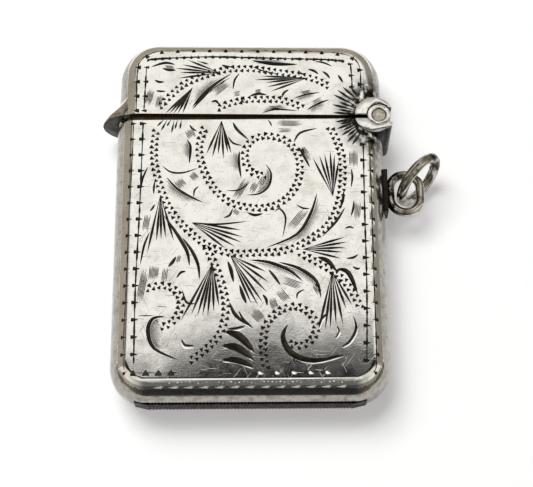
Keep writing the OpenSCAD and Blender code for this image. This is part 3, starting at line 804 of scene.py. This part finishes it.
# %% Leaves of the body
body_leaves = [
    ([(-10.5, 5.7), (-9.5, 4.9), (-8.0, 4.8), (-6.2, 5.4)], 0.26),
    ([(-10.0, 4.2), (-8.8, 2.8), (-7.2, 1.7), (-5.6, 0.9)], 0.34, -0.9),
    ([(-6.1, 3.0), (-6.6, 2.5), (-6.7, 1.6)], 0.24),
    ([(-7.6, 9.2), (-7.2, 8.4), (-7.2, 7.2), (-7.3, 6.0)], 0.36, -0.9),
    ([(-7.3, 11.2), (-7.0, 10.7), (-6.4, 10.3)], 0.28),
    ([(-2.0, 11.5), (-1.5, 10.5), (-0.1, 9.1)], 0.38),
    ([(-2.6, 9.6), (-2.0, 8.7), (-0.9, 8.35)], 0.26),
    ([(-1.2, 7.6), (-1.3, 6.2), (-1.0, 4.0)], 0.36, -1.0),
    ([(-2.8, 2.4), (-1.2, 2.5), (0.0, 3.5)], 0.2),
    ([(-2.0, 0.1), (-2.4, -0.8), (-3.1, -1.1)], 0.28),
    ([(-6.9, -1.7), (-4.0, -1.95), (-0.3, -1.6)], 0.26),
    ([(-10.2, -0.8), (-8.6, -3.2), (-7.4, -5.4), (-7.1, -7.2)], 0.46),
    ([(-8.0, -3.6), (-6.9, -5.2), (-6.1, -7.0), (-5.9, -8.9)], 0.42),
    ([(-11.9, -2.9), (-12.5, -4.6), (-12.9, -7.0)], 0.28),
    ([(-12.3, 5.6), (-12.9, 4.0), (-13.1, 2.5)], 0.28),
    ([(-11.4, 3.7), (-11.5, 2.9), (-11.5, 2.0)], 0.26),
    ([(-11.35, 0.7), (-11.6, 0.2), (-11.9, -0.2)], 0.28),
    ([(2.3, 11.8), (2.6, 11.3), (2.7, 10.9)], 0.2),
    ([(5.4, 8.7), (6.2, 10.0), (8.3, 10.6)], 0.3),
    ([(6.0, 8.1), (6.6, 6.9), (7.3, 5.4)], 0.36, 0.8),
    ([(2.0, 5.8), (2.6, 4.6), (2.3, 3.0), (1.2, 2.0), (-0.4, 1.8)], 0.32, -1.0),
    ([(-0.3, -0.45), (0.6, -0.8), (1.6, -0.6)], 0.36),
    ([(3.0, -0.4), (3.6, 0.0), (4.3, -1.2), (3.9, -3.7)], 0.26),
    ([(8.1, 2.0), (7.3, -0.6), (5.6, -3.3), (2.0, -4.95)], 0.4, 0.9),
    ([(5.6, 0.5), (6.4, 0.05), (7.2, 0.0)], 0.24),
    ([(11.4, 0.1), (10.3, -1.7), (8.6, -3.6)], 0.32),
    ([(11.3, 2.2), (11.2, 1.2), (10.8, -0.1)], 0.36),
    ([(12.3, 5.2), (12.4, 4.0), (12.2, 2.7)], 0.26),
    ([(11.3, -2.6), (11.9, -2.4), (12.4, -2.6)], 0.26),
    ([(12.5, 1.0), (12.4, 0.0), (12.1, -1.0)], 0.28),
    ([(-8.7, -6.0), (-9.1, -6.7), (-9.6, -7.3)], 0.42),
    ([(-7.5, -7.9), (-8.1, -8.0), (-8.6, -8.7)], 0.32),
    ([(-9.9, -13.4), (-11.3, -13.7), (-11.8, -15.2), (-11.0, -17.3), (-8.2, -18.7)], 0.5, 1.6),
    ([(-13.0, -13.3), (-12.0, -13.32), (-11.2, -13.3)], 0.14),
    ([(-7.9, -16.2), (-7.5, -16.9), (-6.4, -17.0)], 0.3),
    ([(-7.9, -10.2), (-7.4, -11.7), (-6.3, -11.9)], 0.28),
    ([(-2.6, -6.6), (-2.2, -7.8), (-1.9, -9.3)], 0.46),
    ([(-1.2, -9.6), (-0.8, -10.9), (-0.4, -11.9)], 0.46),
    ([(-2.4, -11.7), (-1.6, -13.4), (0.4, -14.9)], 0.44),
    ([(-1.3, -12.8), (-0.8, -13.8), (0.2, -14.7)], 0.32),
    ([(-2.7, -15.0), (-1.6, -14.9), (-0.5, -14.6)], 0.28),
    ([(-2.9, -15.3), (-1.2, -15.9), (0.5, -17.8)], 0.95),
    ([(-3.2, -17.0), (-1.4, -17.3), (0.4, -18.7)], 0.95),
    ([(-3.2, -18.7), (-1.4, -18.8), (0.4, -19.6)], 0.8),
    ([(0.0, -6.5), (2.2, -6.8), (4.6, -7.8), (6.2, -9.2)], 0.44, -0.6),
    ([(3.4, -6.8), (5.8, -7.6), (7.8, -9.2), (8.3, -11.3)], 0.46, -0.7),
    ([(2.2, -7.7), (2.9, -8.6), (3.6, -9.7)], 0.36),
    ([(1.5, -10.8), (1.9, -11.4), (2.0, -12.2)], 0.36),
    ([(6.4, -10.2), (5.6, -10.7), (5.5, -11.4)], 0.24),
    ([(4.4, -14.5), (3.8, -16.0), (4.8, -18.0), (7.4, -18.9), (10.8, -18.2)], 0.75),
    ([(8.0, -6.2), (9.2, -6.7), (10.2, -8.0)], 0.6),
    ([(10.3, -7.7), (11.6, -8.2), (12.6, -10.8)], 0.6),
    ([(9.0, -13.2), (8.3, -13.9), (8.0, -15.0)], 0.36),
    ([(12.0, -13.5), (12.3, -15.0), (11.6, -16.5), (10.6, -17.2)], 0.36),
    ([(10.1, -14.7), (10.3, -15.4), (9.9, -16.1)], 0.24),
    ([(12.8, -5.9), (12.2, -6.3), (11.4, -6.4)], 0.3),
    ([(12.1, -7.4), (12.6, -7.7), (13.0, -7.6)], 0.3),
]
print("body:", len(body_leaves), "leaves")

# %% [markdown]
# Hatching turns the gaps between the leaves grey. Each patch has its middle, the length of its lines,
# its width across them and their angle in degrees.

# %% Hatching of the body
body_hatches = [
    ((-8.3, 3.4), 1.4, 0.9, -50), ((-6.7, 4.3), 1.2, 0.7, -50), ((-7.2, 10.0), 1.3, 0.9, -65),
    ((-1.0, 2.6), 3.0, 0.7, 60),
    ((-1.6, -0.4), 0.8, 0.6, 50), ((-12.3, -1.6), 2.2, 0.6, 80), ((4.8, 11.3), 3.4, 0.6, -2),
    ((4.4, 10.35), 1.8, 0.35, -2), ((6.7, 7.6), 1.2, 0.4, -60), ((0.5, 2.8), 1.6, 0.6, 62),
    ((1.5, 3.6), 1.4, 0.5, 62), ((5.7, -1.4), 3.4, 0.8, 52), ((12.6, 6.5), 2.4, 0.9, 88),
    ((12.9, -0.3), 2.4, 0.6, 85), ((-12.6, -9.6), 4.4, 0.7, 80), ((-11.3, -8.0), 2.0, 1.0, 85),
    ((-10.0, -8.3), 1.8, 0.5, 85), ((-8.4, -6.3), 1.2, 0.3, 75),
    ((4.9, -9.4), 2.6, 0.8, -22), ((3.9, -11.0), 2.0, 0.8, -52), ((2.8, -12.0), 1.6, 0.7, -68),
    ((0.9, -13.4), 1.9, 1.0, -50), ((7.9, -10.2), 1.6, 0.6, -60), ((5.2, -18.9), 1.6, 0.5, 5),
]
print("body:", len(body_hatches), "hatched patches")

# %% [markdown]
# Two border lines follow each side of the body, the outer one already on the rounding, and short
# rows of nicks close the face at the base. Each row has its points, the pitch of its nicks, the
# line's width, and the length and width of a nick.

# %% Borders of the body
body_borders = [
    ([(-14.15, 11.4), (-14.3, 2.0), (-14.5, -9.0), (-14.6, -18.2), (-14.2, -20.2)],
     2.1, 0.14, 0.7, 0.5),
    ([(14.2, -20.2), (14.55, -18.2), (14.6, -6.0), (14.65, 8.6)], 2.1, 0.24, 0.7, 0.5),
    ([(-13.0, 11.4), (-13.15, 0.0), (-13.4, -10.0), (-13.35, -19.4)], 2.1, 0.2, 0.85, 0.5),
    ([(13.85, 8.4), (13.75, 0.0), (13.7, -10.0), (13.4, -19.4)], 2.1, 0.2, 0.85, 0.5),
    ([(-13.4, -20.2), (-11.0, -20.2), (-8.4, -20.2)], 1.45, 0.1, 0.7, 0.9),
    ([(-5.6, -20.2), (-3.0, -20.2), (-0.4, -20.2)], 2.2, 0.06, 0.4, 0.4),
    ([(0.7, -20.2), (4.0, -20.2), (8.6, -20.2)], 1.93, 0.06, 0.6, 0.6),
]
print("body:", len(body_borders), "border rows")

# %% [markdown]
# The rounding at the base mirrors the dark front of the room, so the engraver's marks there shine.
# From the face down they are five broad facets, a long line, the chatter of a graver that jumps
# along, and a row of scallops. A mark is drawn once, from the middle of its place, and repeated at
# its pitch.

# %% Bright rows at the base
FACET_Y = -20.45
FACET_START = 0.8
FACET_PITCH = 1.93
FACETS = 5
FACET_FORM = ((-0.1, 0.04), (0.25, 0.62), (0.75, 0.02))
SCALLOP_PITCH = 1.75
SCALLOPS_EACH_WAY = 6
SCALLOP_FORM = (
    (-0.8, -21.72, 0.03), (-0.3, -21.8, 0.16), (0.3, -21.74, 0.22), (0.75, -21.64, 0.03),
)
CHATTER_Y = -21.35
CHATTER_START = -12.2
CHATTER_PITCH = 0.47
CHATTER_MARKS = 52
CHATTER_TIP = 0.02
CHATTER_PEAK = 0.16
CHATTER_LENGTH = 0.34
CHATTER_JUMP = (-0.13, 0.13)
CHATTER_HALF = (0.04, 0.1)
body_facets = [
    [(FACET_START + FACET_PITCH * i + off, FACET_Y, half) for off, half in FACET_FORM]
    for i in range(FACETS)
]
body_scallops = [
    [(SCALLOP_PITCH * i + off, y, half) for off, y, half in SCALLOP_FORM]
    for i in range(-SCALLOPS_EACH_WAY, SCALLOPS_EACH_WAY + 1)
]
base_line = [(-12.9, -20.92, 0.08), (-6.0, -20.95, 0.14), (6.0, -20.95, 0.12), (12.9, -20.92, 0.08)]
chatter = []
for i in range(CHATTER_MARKS):
    at = CHATTER_START + CHATTER_PITCH * i
    low = CHATTER_Y + chance.uniform(*CHATTER_JUMP)
    half = chance.uniform(*CHATTER_HALF)
    chatter.append([
        (at, low, CHATTER_TIP),
        (at + CHATTER_PEAK, low, half),
        (at + CHATTER_LENGTH, low, CHATTER_TIP),
    ])
print("base:", len(body_facets), "facets,", len(body_scallops), "scallops,", len(chatter), "marks")

# %% [markdown]
# The lid carries the same moves on a smaller field: a garland along the top, a short one along the
# mouth, and fans, leaves and hatching between them.

# %% Stems, fans and leaves of the lid
lid_stems = [
    [(-11.0, 13.7), (-9.6, 15.3), (-8.0, 16.8), (-5.6, 17.9), (-3.0, 18.7), (0.0, 18.85),
     (3.2, 18.4), (6.0, 17.9), (8.4, 17.2), (10.0, 16.2)],
    [(-3.8, 13.4), (-2.6, 14.0), (-0.6, 14.5), (1.6, 14.6), (3.8, 14.5), (5.4, 14.0), (6.5, 13.4)],
]
lid_fans = [
    ((-3.6, 18.3), [(-7.6, 20.1), (-8.3, 19.5), (-9.2, 19.0), (-8.6, 18.4), (-8.8, 17.6)], 0.3),
    ((-7.0, 16.3),
     [(-10.3, 12.75), (-9.8, 12.75), (-9.3, 12.75), (-8.8, 12.75), (-8.2, 12.75)], 0.3),
    ((7.2, 17.5), [(1.5, 17.8), (0.7, 17.3), (2.0, 16.9), (2.2, 16.3), (2.7, 15.7)], 0.3),
]
lid_rays = [((-6.5, 20.0), (-5.0, 19.5))]
lid_leaves = [
    ([(-12.2, 19.2), (-10.5, 19.75), (-9.2, 19.5)], 0.36),
    ([(-10.8, 19.0), (-10.0, 18.75), (-9.1, 18.7)], 0.36),
    ([(-11.7, 17.4), (-11.2, 17.1), (-10.5, 17.1)], 0.34),
    ([(-11.5, 15.9), (-11.0, 15.8), (-10.3, 15.8)], 0.28),
    ([(-3.4, 19.4), (-2.9, 19.2), (-2.2, 19.1)], 0.32),
    ([(-2.2, 18.2), (-4.2, 16.7), (-5.8, 14.8), (-7.0, 13.3)], 0.36, 0.0),
    ([(-3.4, 17.5), (-4.8, 16.3), (-6.0, 15.0), (-7.0, 13.6)], 0.4, -0.9),
    ([(-2.4, 17.6), (-4.0, 16.5), (-5.0, 15.4)], 0.16),
    ([(-1.2, 18.2), (-1.8, 17.3), (-2.0, 16.0)], 0.26),
    ([(-4.7, 14.3), (-4.1, 14.4), (-3.7, 13.9)], 0.34),
    ([(-1.0, 15.0), (-0.9, 14.5), (-0.6, 14.1)], 0.24),
    ([(0.0, 15.0), (1.0, 15.35), (2.2, 15.2)], 0.36),
    ([(4.9, 15.9), (4.3, 15.5), (4.0, 14.8)], 0.3),
    ([(0.3, 19.2), (1.8, 18.5), (3.6, 18.1)], 0.2),
    ([(0.3, 20.0), (3.0, 19.5), (6.0, 19.4)], 0.5),
    ([(8.2, 19.8), (9.3, 19.6), (10.3, 19.1)], 0.26),
    ([(7.3, 18.7), (8.0, 18.5), (8.6, 18.0)], 0.34),
    ([(9.1, 18.4), (9.6, 18.0), (10.0, 17.4)], 0.34),
    ([(6.1, 18.6), (6.3, 18.2), (6.9, 18.0)], 0.3),
    ([(11.0, 17.9), (11.3, 17.4), (11.6, 16.8)], 0.32),
    ([(5.5, 14.7), (7.0, 15.2), (8.7, 15.5)], 0.26, -0.7),
    ([(7.1, 13.1), (8.3, 13.85), (9.8, 14.5)], 0.3, -0.8),
    ([(1.6, 12.75), (3.2, 13.2), (5.9, 13.0)], 0.26, 0.6),
]
print("lid:", len(lid_stems), "stems,", len(lid_fans), "fans,", len(lid_leaves), "leaves")

# %% [markdown]
# A border runs round the lid in one sweep, with a second line inside it on each side and a dense row
# of nicks along the top. The numbers are in the same order as for the body.

# %% Hatching and borders of the lid
lid_hatches = [
    ((-3.6, 16.2), 2.8, 0.9, 42), ((-12.3, 15.0), 2.2, 0.7, 80), ((-11.1, 14.4), 1.9, 0.6, 80),
    ((-1.5, 15.4), 1.0, 0.5, 10), ((2.7, 19.75), 4.2, 0.5, -4), ((1.1, 15.7), 0.9, 0.4, 15),
    ((7.0, 15.5), 1.6, 0.4, 14), ((8.3, 14.25), 1.6, 0.5, 28), ((3.3, 13.5), 2.2, 0.3, 5),
    ((-9.9, 19.1), 1.4, 0.4, -6),
]
lid_borders = [
    ([(-13.9, 13.15), (-13.85, 18.6), (-13.5, 20.1), (-12.3, 21.05), (-10.6, 21.4), (-6.0, 21.55),
      (0.0, 21.45), (6.5, 21.3), (10.5, 21.0), (12.6, 20.5), (13.6, 19.4), (13.8, 18.0),
      (13.75, 15.6)], 2.0, 0.16, 0.75, 0.6),
    ([(-12.95, 13.15), (-12.85, 16.4), (-12.75, 19.6)], 2.0, 0.18, 0.7, 0.4),
    ([(-12.6, 20.2), (-10.0, 20.4), (-5.0, 20.55), (0.0, 20.4), (5.3, 20.2), (9.5, 20.05),
      (12.3, 19.75)], 0.9, 0.26, 0.5, 0.36),
    ([(12.6, 19.4), (12.7, 17.4), (12.7, 15.8)], 1.6, 0.2, 0.7, 0.4),
]
print("lid:", len(lid_hatches), "hatched patches and", len(lid_borders), "border rows")

# %% [markdown]
# Short rays spread from the hinge over both fields. Each has an angle in degrees, and the distances
# from the middle of the spread at which it starts and ends.

# %% Rays round the hinge
HINGE_FAN_X = PIN.x - 0.6
HINGE_RAY_W = 0.36
HINGE_RAYS_BODY = [
    (191, 2.2, 4.9), (196, 2.3, 4.4), (202, 2.3, 5.0), (208, 2.3, 4.4), (214, 2.4, 4.9),
    (220, 2.4, 4.4), (227, 2.6, 5.0), (235, 2.7, 4.9),
]
HINGE_RAYS_LID = [
    (176, 2.4, 5.0), (170, 2.4, 4.4), (164, 2.5, 5.3), (157, 2.4, 4.6), (150, 2.5, 5.7),
    (142, 2.5, 5.6), (134, 2.6, 5.4), (126, 2.7, 4.7),
]


def hinge_rays(rays):
    """Strokes of the rays that spread from the hinge."""
    strokes = []
    for angle, start, end in rays:
        turn = math.radians(angle)
        at = [(HINGE_FAN_X + r * math.cos(turn), PIN.y + r * math.sin(turn)) for r in (start, end)]
        strokes += ray(at[0], at[1], HINGE_RAY_W)
    return strokes


print("hinge:", len(HINGE_RAYS_BODY), "rays on the body,", len(HINGE_RAYS_LID), "on the lid")


# %% [markdown]
# Now strokes become cutters. A cut has a depth for its half-width, a finish, a lift of the bar above
# the metal and a roll. Most cuts are Vs. A bar that is rolled by almost 45 degrees lies flat, so its
# cut has a level floor, which mirrors the bright sheet: that makes the rows at the base shine. Every
# bar carries all the finishes of the sheet, because a Boolean matches the materials of both meshes.
# The bars are made round the level of the face and then squeezed to their depth.

# %% From strokes to cutters
Cut = namedtuple("Cut", "depth slot lift roll")
LEVEL = math.radians(38)
DARK_CUT = Cut(0.55, CUT_SLOT, 0, 0)
BRIGHT_CUT = Cut(0.12, BRIGHT_SLOT, 0, 0)
FACET_CUT = Cut(1, BRIGHT_SLOT, 0.7, LEVEL)
LINE_CUT = Cut(1, BRIGHT_SLOT, 0.45, LEVEL)
SCALLOP_CUT = Cut(1, BRIGHT_SLOT, 0.05, LEVEL)
# In metres, as the operator takes it.
BAR_MERGE = 1e-8


def select_only(piece):
    """Selects one object and makes it the one that operators act on."""
    bpy.ops.object.select_all(action="DESELECT")
    piece.select_set(True)
    bpy.context.view_layer.objects.active = piece


def cutter(name, strokes, height_at, outward, cut):
    """A mesh of tapered four-sided bars, one per stroke, lying on the metal's surface."""
    curve = bpy.data.curves.new(name, "CURVE")
    curve.dimensions = "3D"
    curve.twist_mode = "Z_UP"
    curve.bevel_depth = MM
    curve.bevel_resolution = 0
    curve.use_fill_caps = True
    for points in strokes:
        line = curve.splines.new("POLY")
        line.points.add(len(points) - 1)
        for place, (x, y, half) in zip(line.points, points):
            z = (height_at(x, y) + cut.lift * half - CASE_T) / cut.depth
            place.co = (x * MM, y * MM, z * MM, 1.0)
            place.radius = half
            place.tilt = cut.roll
    bars = bpy.data.objects.new(name, curve)
    bpy.context.collection.objects.link(bars)
    select_only(bars)
    bpy.ops.object.convert(target="MESH")
    bars = bpy.context.object
    bars.scale = (1, 1, outward * cut.depth)
    bars.location = (0, 0, CASE_T * MM if outward > 0 else 0)
    bpy.ops.object.transform_apply(location=True, rotation=True, scale=True)
    bpy.ops.object.mode_set(mode="EDIT")
    bpy.ops.mesh.select_all(action="SELECT")
    bpy.ops.mesh.remove_doubles(threshold=BAR_MERGE)
    bpy.ops.mesh.normals_make_consistent(inside=False)
    bpy.ops.object.mode_set(mode="OBJECT")
    for finish in SHEET_FINISHES:
        bars.data.materials.append(finish)
    for polygon in bars.data.polygons:
        polygon.material_index = cut.slot
    return bars


print("cuts: a dark V is", DARK_CUT.depth, "of its half-width deep")


# %% [markdown]
# The sheet is a copy of the CAD solid with its loose triangles merged. Before it is cut, its sides
# get their pitted finish, darkened as painted shade, and its inside the gilt. Afterwards its edges
# are made sharp along the cuts and smooth elsewhere. Smooth shading would bend the mirror image where
# the roundings start, so the flat face gets normals that point straight out.

# %% The sheet before and after the cuts
# In metres, as above.
SHEET_MERGE = 1e-7
SIDE_UP = 0.6
FACE_UP = 0.5
FACE_WITHIN = 0.001
SHARP = math.radians(25)
CUT_SHARP = math.radians(12)
CUT_SLOTS = (CUT_SLOT, BRIGHT_SLOT)


def merged_copy(node, name):
    """A copy of a CAD node with its loose triangles merged."""
    piece = frame["nodes"][node].copy()
    piece.data = piece.data.copy()
    piece.name = name
    bpy.context.collection.objects.link(piece)
    select_only(piece)
    bpy.ops.object.mode_set(mode="EDIT")
    bpy.ops.mesh.select_all(action="SELECT")
    bpy.ops.mesh.remove_doubles(threshold=SHEET_MERGE)
    bpy.ops.object.mode_set(mode="OBJECT")
    return piece


def mark_faces(piece, centre):
    """Gives the inside of the sheet its gilt and the sides their pitted finish with painted shade,
    before the cuts.
    """
    # Sides are picked by their direction: their darker silver is pits, plus painted shade for a
    # dimmer reflection.
    for polygon in piece.data.polygons:
        if polygon.normal.dot(polygon.center - centre) < 0:
            polygon.material_index = GILT_SLOT
        elif abs(polygon.normal.z) < SIDE_UP:
            polygon.material_index = SIDE_SLOT
        else:
            polygon.material_index = FACE_SLOT


def finish_sheet(piece, outward):
    """Crisp edges along the cuts, smooth roundings, and a truly flat face up to where they start."""
    shape = bmesh.new()
    shape.from_mesh(piece.data)
    for face in shape.faces:
        face.smooth = True
    for edge in shape.edges:
        cut = [face.material_index in CUT_SLOTS for face in edge.link_faces]
        limit = CUT_SHARP if all(cut) else SHARP
        edge.smooth = len(cut) == 2 and cut[0] == cut[1] and edge.calc_face_angle(0) < limit
    shape.to_mesh(piece.data)
    shape.free()
    select_only(piece)
    even = piece.modifiers.new("even_normals", "WEIGHTED_NORMAL")
    even.keep_sharp = True
    bpy.ops.object.modifier_apply(modifier=even.name)
    mesh = piece.data
    level = CASE_T * MM if outward > 0 else 0.0
    normals = [corner.vector.copy() for corner in mesh.corner_normals]
    for polygon in mesh.polygons:
        if polygon.material_index == FACE_SLOT and polygon.normal.z * outward > FACE_UP:
            for i in polygon.loop_indices:
                place = mesh.vertices[mesh.loops[i].vertex_index].co
                if abs(place.z - level) < FACE_WITHIN * MM:
                    normals[i] = Vector((0, 0, outward))
    mesh.normals_split_custom_set(normals)


print("edges are sharp above", round(math.degrees(SHARP)), "degrees, in cuts above",
      round(math.degrees(CUT_SHARP)))


# %% [markdown]
# Strokes that cross can't be in the same cutter, because a cutter has to be a clean closed mesh. So
# the strokes are dealt into hands, one after another as cards are, and each hand becomes one cutter.
# Leaves that lie where the face mirrors the dark room get a second, bright cut along their lower rim.

# %% Dealing the strokes into hands
BRIGHT_BELOW_Y = -13.5
BRIGHT_FROM_X = -8.5
RIM_DROP = 0.22
RIM_W = 0.4
RAY_W = 0.26


def deal(strokes, hands):
    """Deals neighbouring strokes into different hands, so that no hand holds crossing strokes."""
    return [strokes[i::hands] for i in range(hands)]


def is_bright(points):
    """Whether a leaf lies where the face mirrors the dark room, and its lower rim shines."""
    x, y = (sum(c) / len(points) for c in zip(*points))
    return y < BRIGHT_BELOW_Y and x > BRIGHT_FROM_X


def hands_for(stems, fans, rays, leaves, hatches, borders, hinge):
    """All the strokes of one field, dealt into hands, each with its kind of cut."""
    nicks = [stroke for stem in stems for stroke in wriggle(stem)]
    lines, edge_nicks = [], []
    for each in borders:
        line, marks = border(*each)
        lines.append(line)
        edge_nicks += marks
    fan_rays = [stroke for each in fans for stroke in fan(*each)]
    single = [stroke for start, end in rays for stroke in ray(start, end, RAY_W)]
    leaf_cuts = [stroke for each in leaves for stroke in leaf(*each)]
    rims = [
        stroke for each in leaves if is_bright(each[0])
        for stroke in leaf([(x, y - RIM_DROP) for x, y in each[0]], RIM_W)
    ]
    hands = deal(nicks, hands=2) + [edge_nicks] + deal(lines, hands=2)
    hands += deal(fan_rays, hands=8) + deal(leaf_cuts, hands=5)
    hands += deal(single + hinge_rays(hinge), hands=3)
    hands += [[s for patch in part for s in hatch(*patch)] for part in deal(hatches, hands=2)]
    bright_hands = deal(rims, hands=3)
    return [(hand, DARK_CUT) for hand in hands] + [(hand, BRIGHT_CUT) for hand in bright_hands]


print("leaves below", BRIGHT_BELOW_Y, "get a bright rim")


# %% [markdown]
# Each hand is then cut out of the sheet. The bars could be joined into one mesh and cut at once, but
# where bars cross, that mesh would cut itself; one Boolean after another keeps every cut clean. The
# Manifold solver is the quick one, and both meshes are closed, as it needs them to be.

# %% Cutting the hands out of a sheet
FRONT = 1
BACK = -1


def engrave(node, name, body, hands, height_at, outward):
    """Cuts every hand of strokes out of a copy of the sheet."""
    piece = merged_copy(node, name)
    piece.data.materials.clear()
    for finish in SHEET_FINISHES:
        piece.data.materials.append(finish)
    low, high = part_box(node)
    mark_faces(piece, Vector((0, (low.y + high.y) / 2, CASE_T / 2 * MM)))
    for i, (strokes, cut) in enumerate(hands):
        if not strokes:
            continue
        bars = cutter(f"{name}_cutter_{i}", strokes, height_at, outward, cut)
        select_only(piece)
        taken = piece.modifiers.new("cut", "BOOLEAN")
        taken.operation = "DIFFERENCE"
        taken.solver = "MANIFOLD"
        taken.object = bars
        bpy.ops.object.modifier_apply(modifier=taken.name)
        bpy.data.objects.remove(bars, do_unlink=True)
    finish_sheet(piece, outward)
    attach(piece, body)
    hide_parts(node)
    print(name, "has", len(piece.data.polygons), "faces")


# %% [markdown]
# The body and the lid each have a front and a back stamping. No picture shows the back, so it gets
# the same ornament at the same places. The bright rows are cut last, over the borders.

# %% Engraved sheets of the body and the lid
body_hands = hands_for(
    body_stems, body_fans, body_rays, body_leaves, body_hatches, body_borders, HINGE_RAYS_BODY,
)
body_hands += [
    (body_facets, FACET_CUT), ([base_line], LINE_CUT), (chatter, LINE_CUT),
    (body_scallops, SCALLOP_CUT),
]
lid_hands = hands_for(
    lid_stems, lid_fans, lid_rays, lid_leaves, lid_hatches, lid_borders, HINGE_RAYS_LID,
)
engrave("body_front_shell", "engraved_body_front", "case_body", body_hands, body_height, FRONT)
engrave("lid_front_shell", "engraved_lid_front", "lid", lid_hands, lid_height, FRONT)
engrave("body_back_shell", "engraved_body_back", "case_body", body_hands, body_height, BACK)
engrave("lid_back_shell", "engraved_lid_back", "lid", lid_hands, lid_height, BACK)


# %% [markdown]
# The hinge housing was filed to shape after it was soldered on, so its plates have small soft edges.
# Its upright walls, picked by their direction, get near-black silver as painted shade. The
# thumb-piece is rubbed and stained, with the same painted shade on the faces that look towards the
# base, and it flares out more quickly than the CAD solid, so its copy is made lower from its lip up.
# A Bevel modifier limited by angle rounds only the real edges; the flat faces are dissolved first, so
# that it meets no triangle diagonals.

# %% Hinge housing, front knuckle and thumb-piece
WALL_UP = 0.8
FLAT_ANGLE = math.radians(1)
EDGE_ANGLE = math.radians(40)
SMOOTH_ANGLE = math.radians(35)
EDGE_SEGMENTS = 2
PLATE_EDGE = 0.1
KNUCKLE_EDGE = 0.06
THUMB_EDGE = 0.08
THUMB_HEIGHT = 0.58


def is_wall(normal):
    """Whether a face stands upright."""
    return abs(normal.z) < WALL_UP


def is_under(normal):
    """Whether a face looks towards the base."""
    return normal.y < -WALL_UP


def dress(node, name, body, edge_mm, bright, is_shaded, height=1.0):
    """A copy of a CAD piece with soft edges, in its own finish, and painted shade in near-black
    silver on faces picked by direction.
    """
    piece = merged_copy(node, name)
    foot = Matrix.Translation((0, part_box(node)[0].y, 0))
    piece.data.transform(foot @ Matrix.Diagonal((1, height, 1, 1)) @ foot.inverted())
    bpy.ops.object.mode_set(mode="EDIT")
    bpy.ops.mesh.select_all(action="SELECT")
    bpy.ops.mesh.dissolve_limited(angle_limit=FLAT_ANGLE)
    bpy.ops.object.mode_set(mode="OBJECT")
    soft = piece.modifiers.new("soft_edges", "BEVEL")
    soft.width = edge_mm * MM
    soft.segments = EDGE_SEGMENTS
    soft.limit_method = "ANGLE"
    soft.angle_limit = EDGE_ANGLE
    bpy.ops.object.modifier_apply(modifier=soft.name)
    piece.data.materials.clear()
    piece.data.materials.append(bright)
    piece.data.materials.append(tarnish_and_shade_silver)
    for polygon in piece.data.polygons:
        # Faces picked by their direction get the near-black silver: painted shade.
        polygon.material_index = 1 if is_shaded(polygon.normal) else 0
    bpy.ops.object.shade_smooth_by_angle(angle=SMOOTH_ANGLE)
    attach(piece, body)
    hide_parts(node)
    print(name, "has", len(piece.data.polygons), "faces")


# Upright walls of the housing and knuckle, and the thumb-piece's underside, get painted shade.
dress("body_hinge_bearer", "filed_body_bearer", "case_body", PLATE_EDGE, plate_silver, is_wall)
dress("lid_hinge_bearer", "filed_lid_bearer", "lid", PLATE_EDGE, plate_silver, is_wall)
dress("front_knuckle", "filed_front_knuckle", "case_body", KNUCKLE_EDGE, plate_silver, is_wall)
dress("thumb_piece", "rubbed_thumb_piece", "lid", THUMB_EDGE, thumb_silver, is_under, THUMB_HEIGHT)

# %% [markdown]
# The view layer is brought up to date, so that every piece sits where its body puts it.

# %% Update the view layer
bpy.context.view_layer.update()
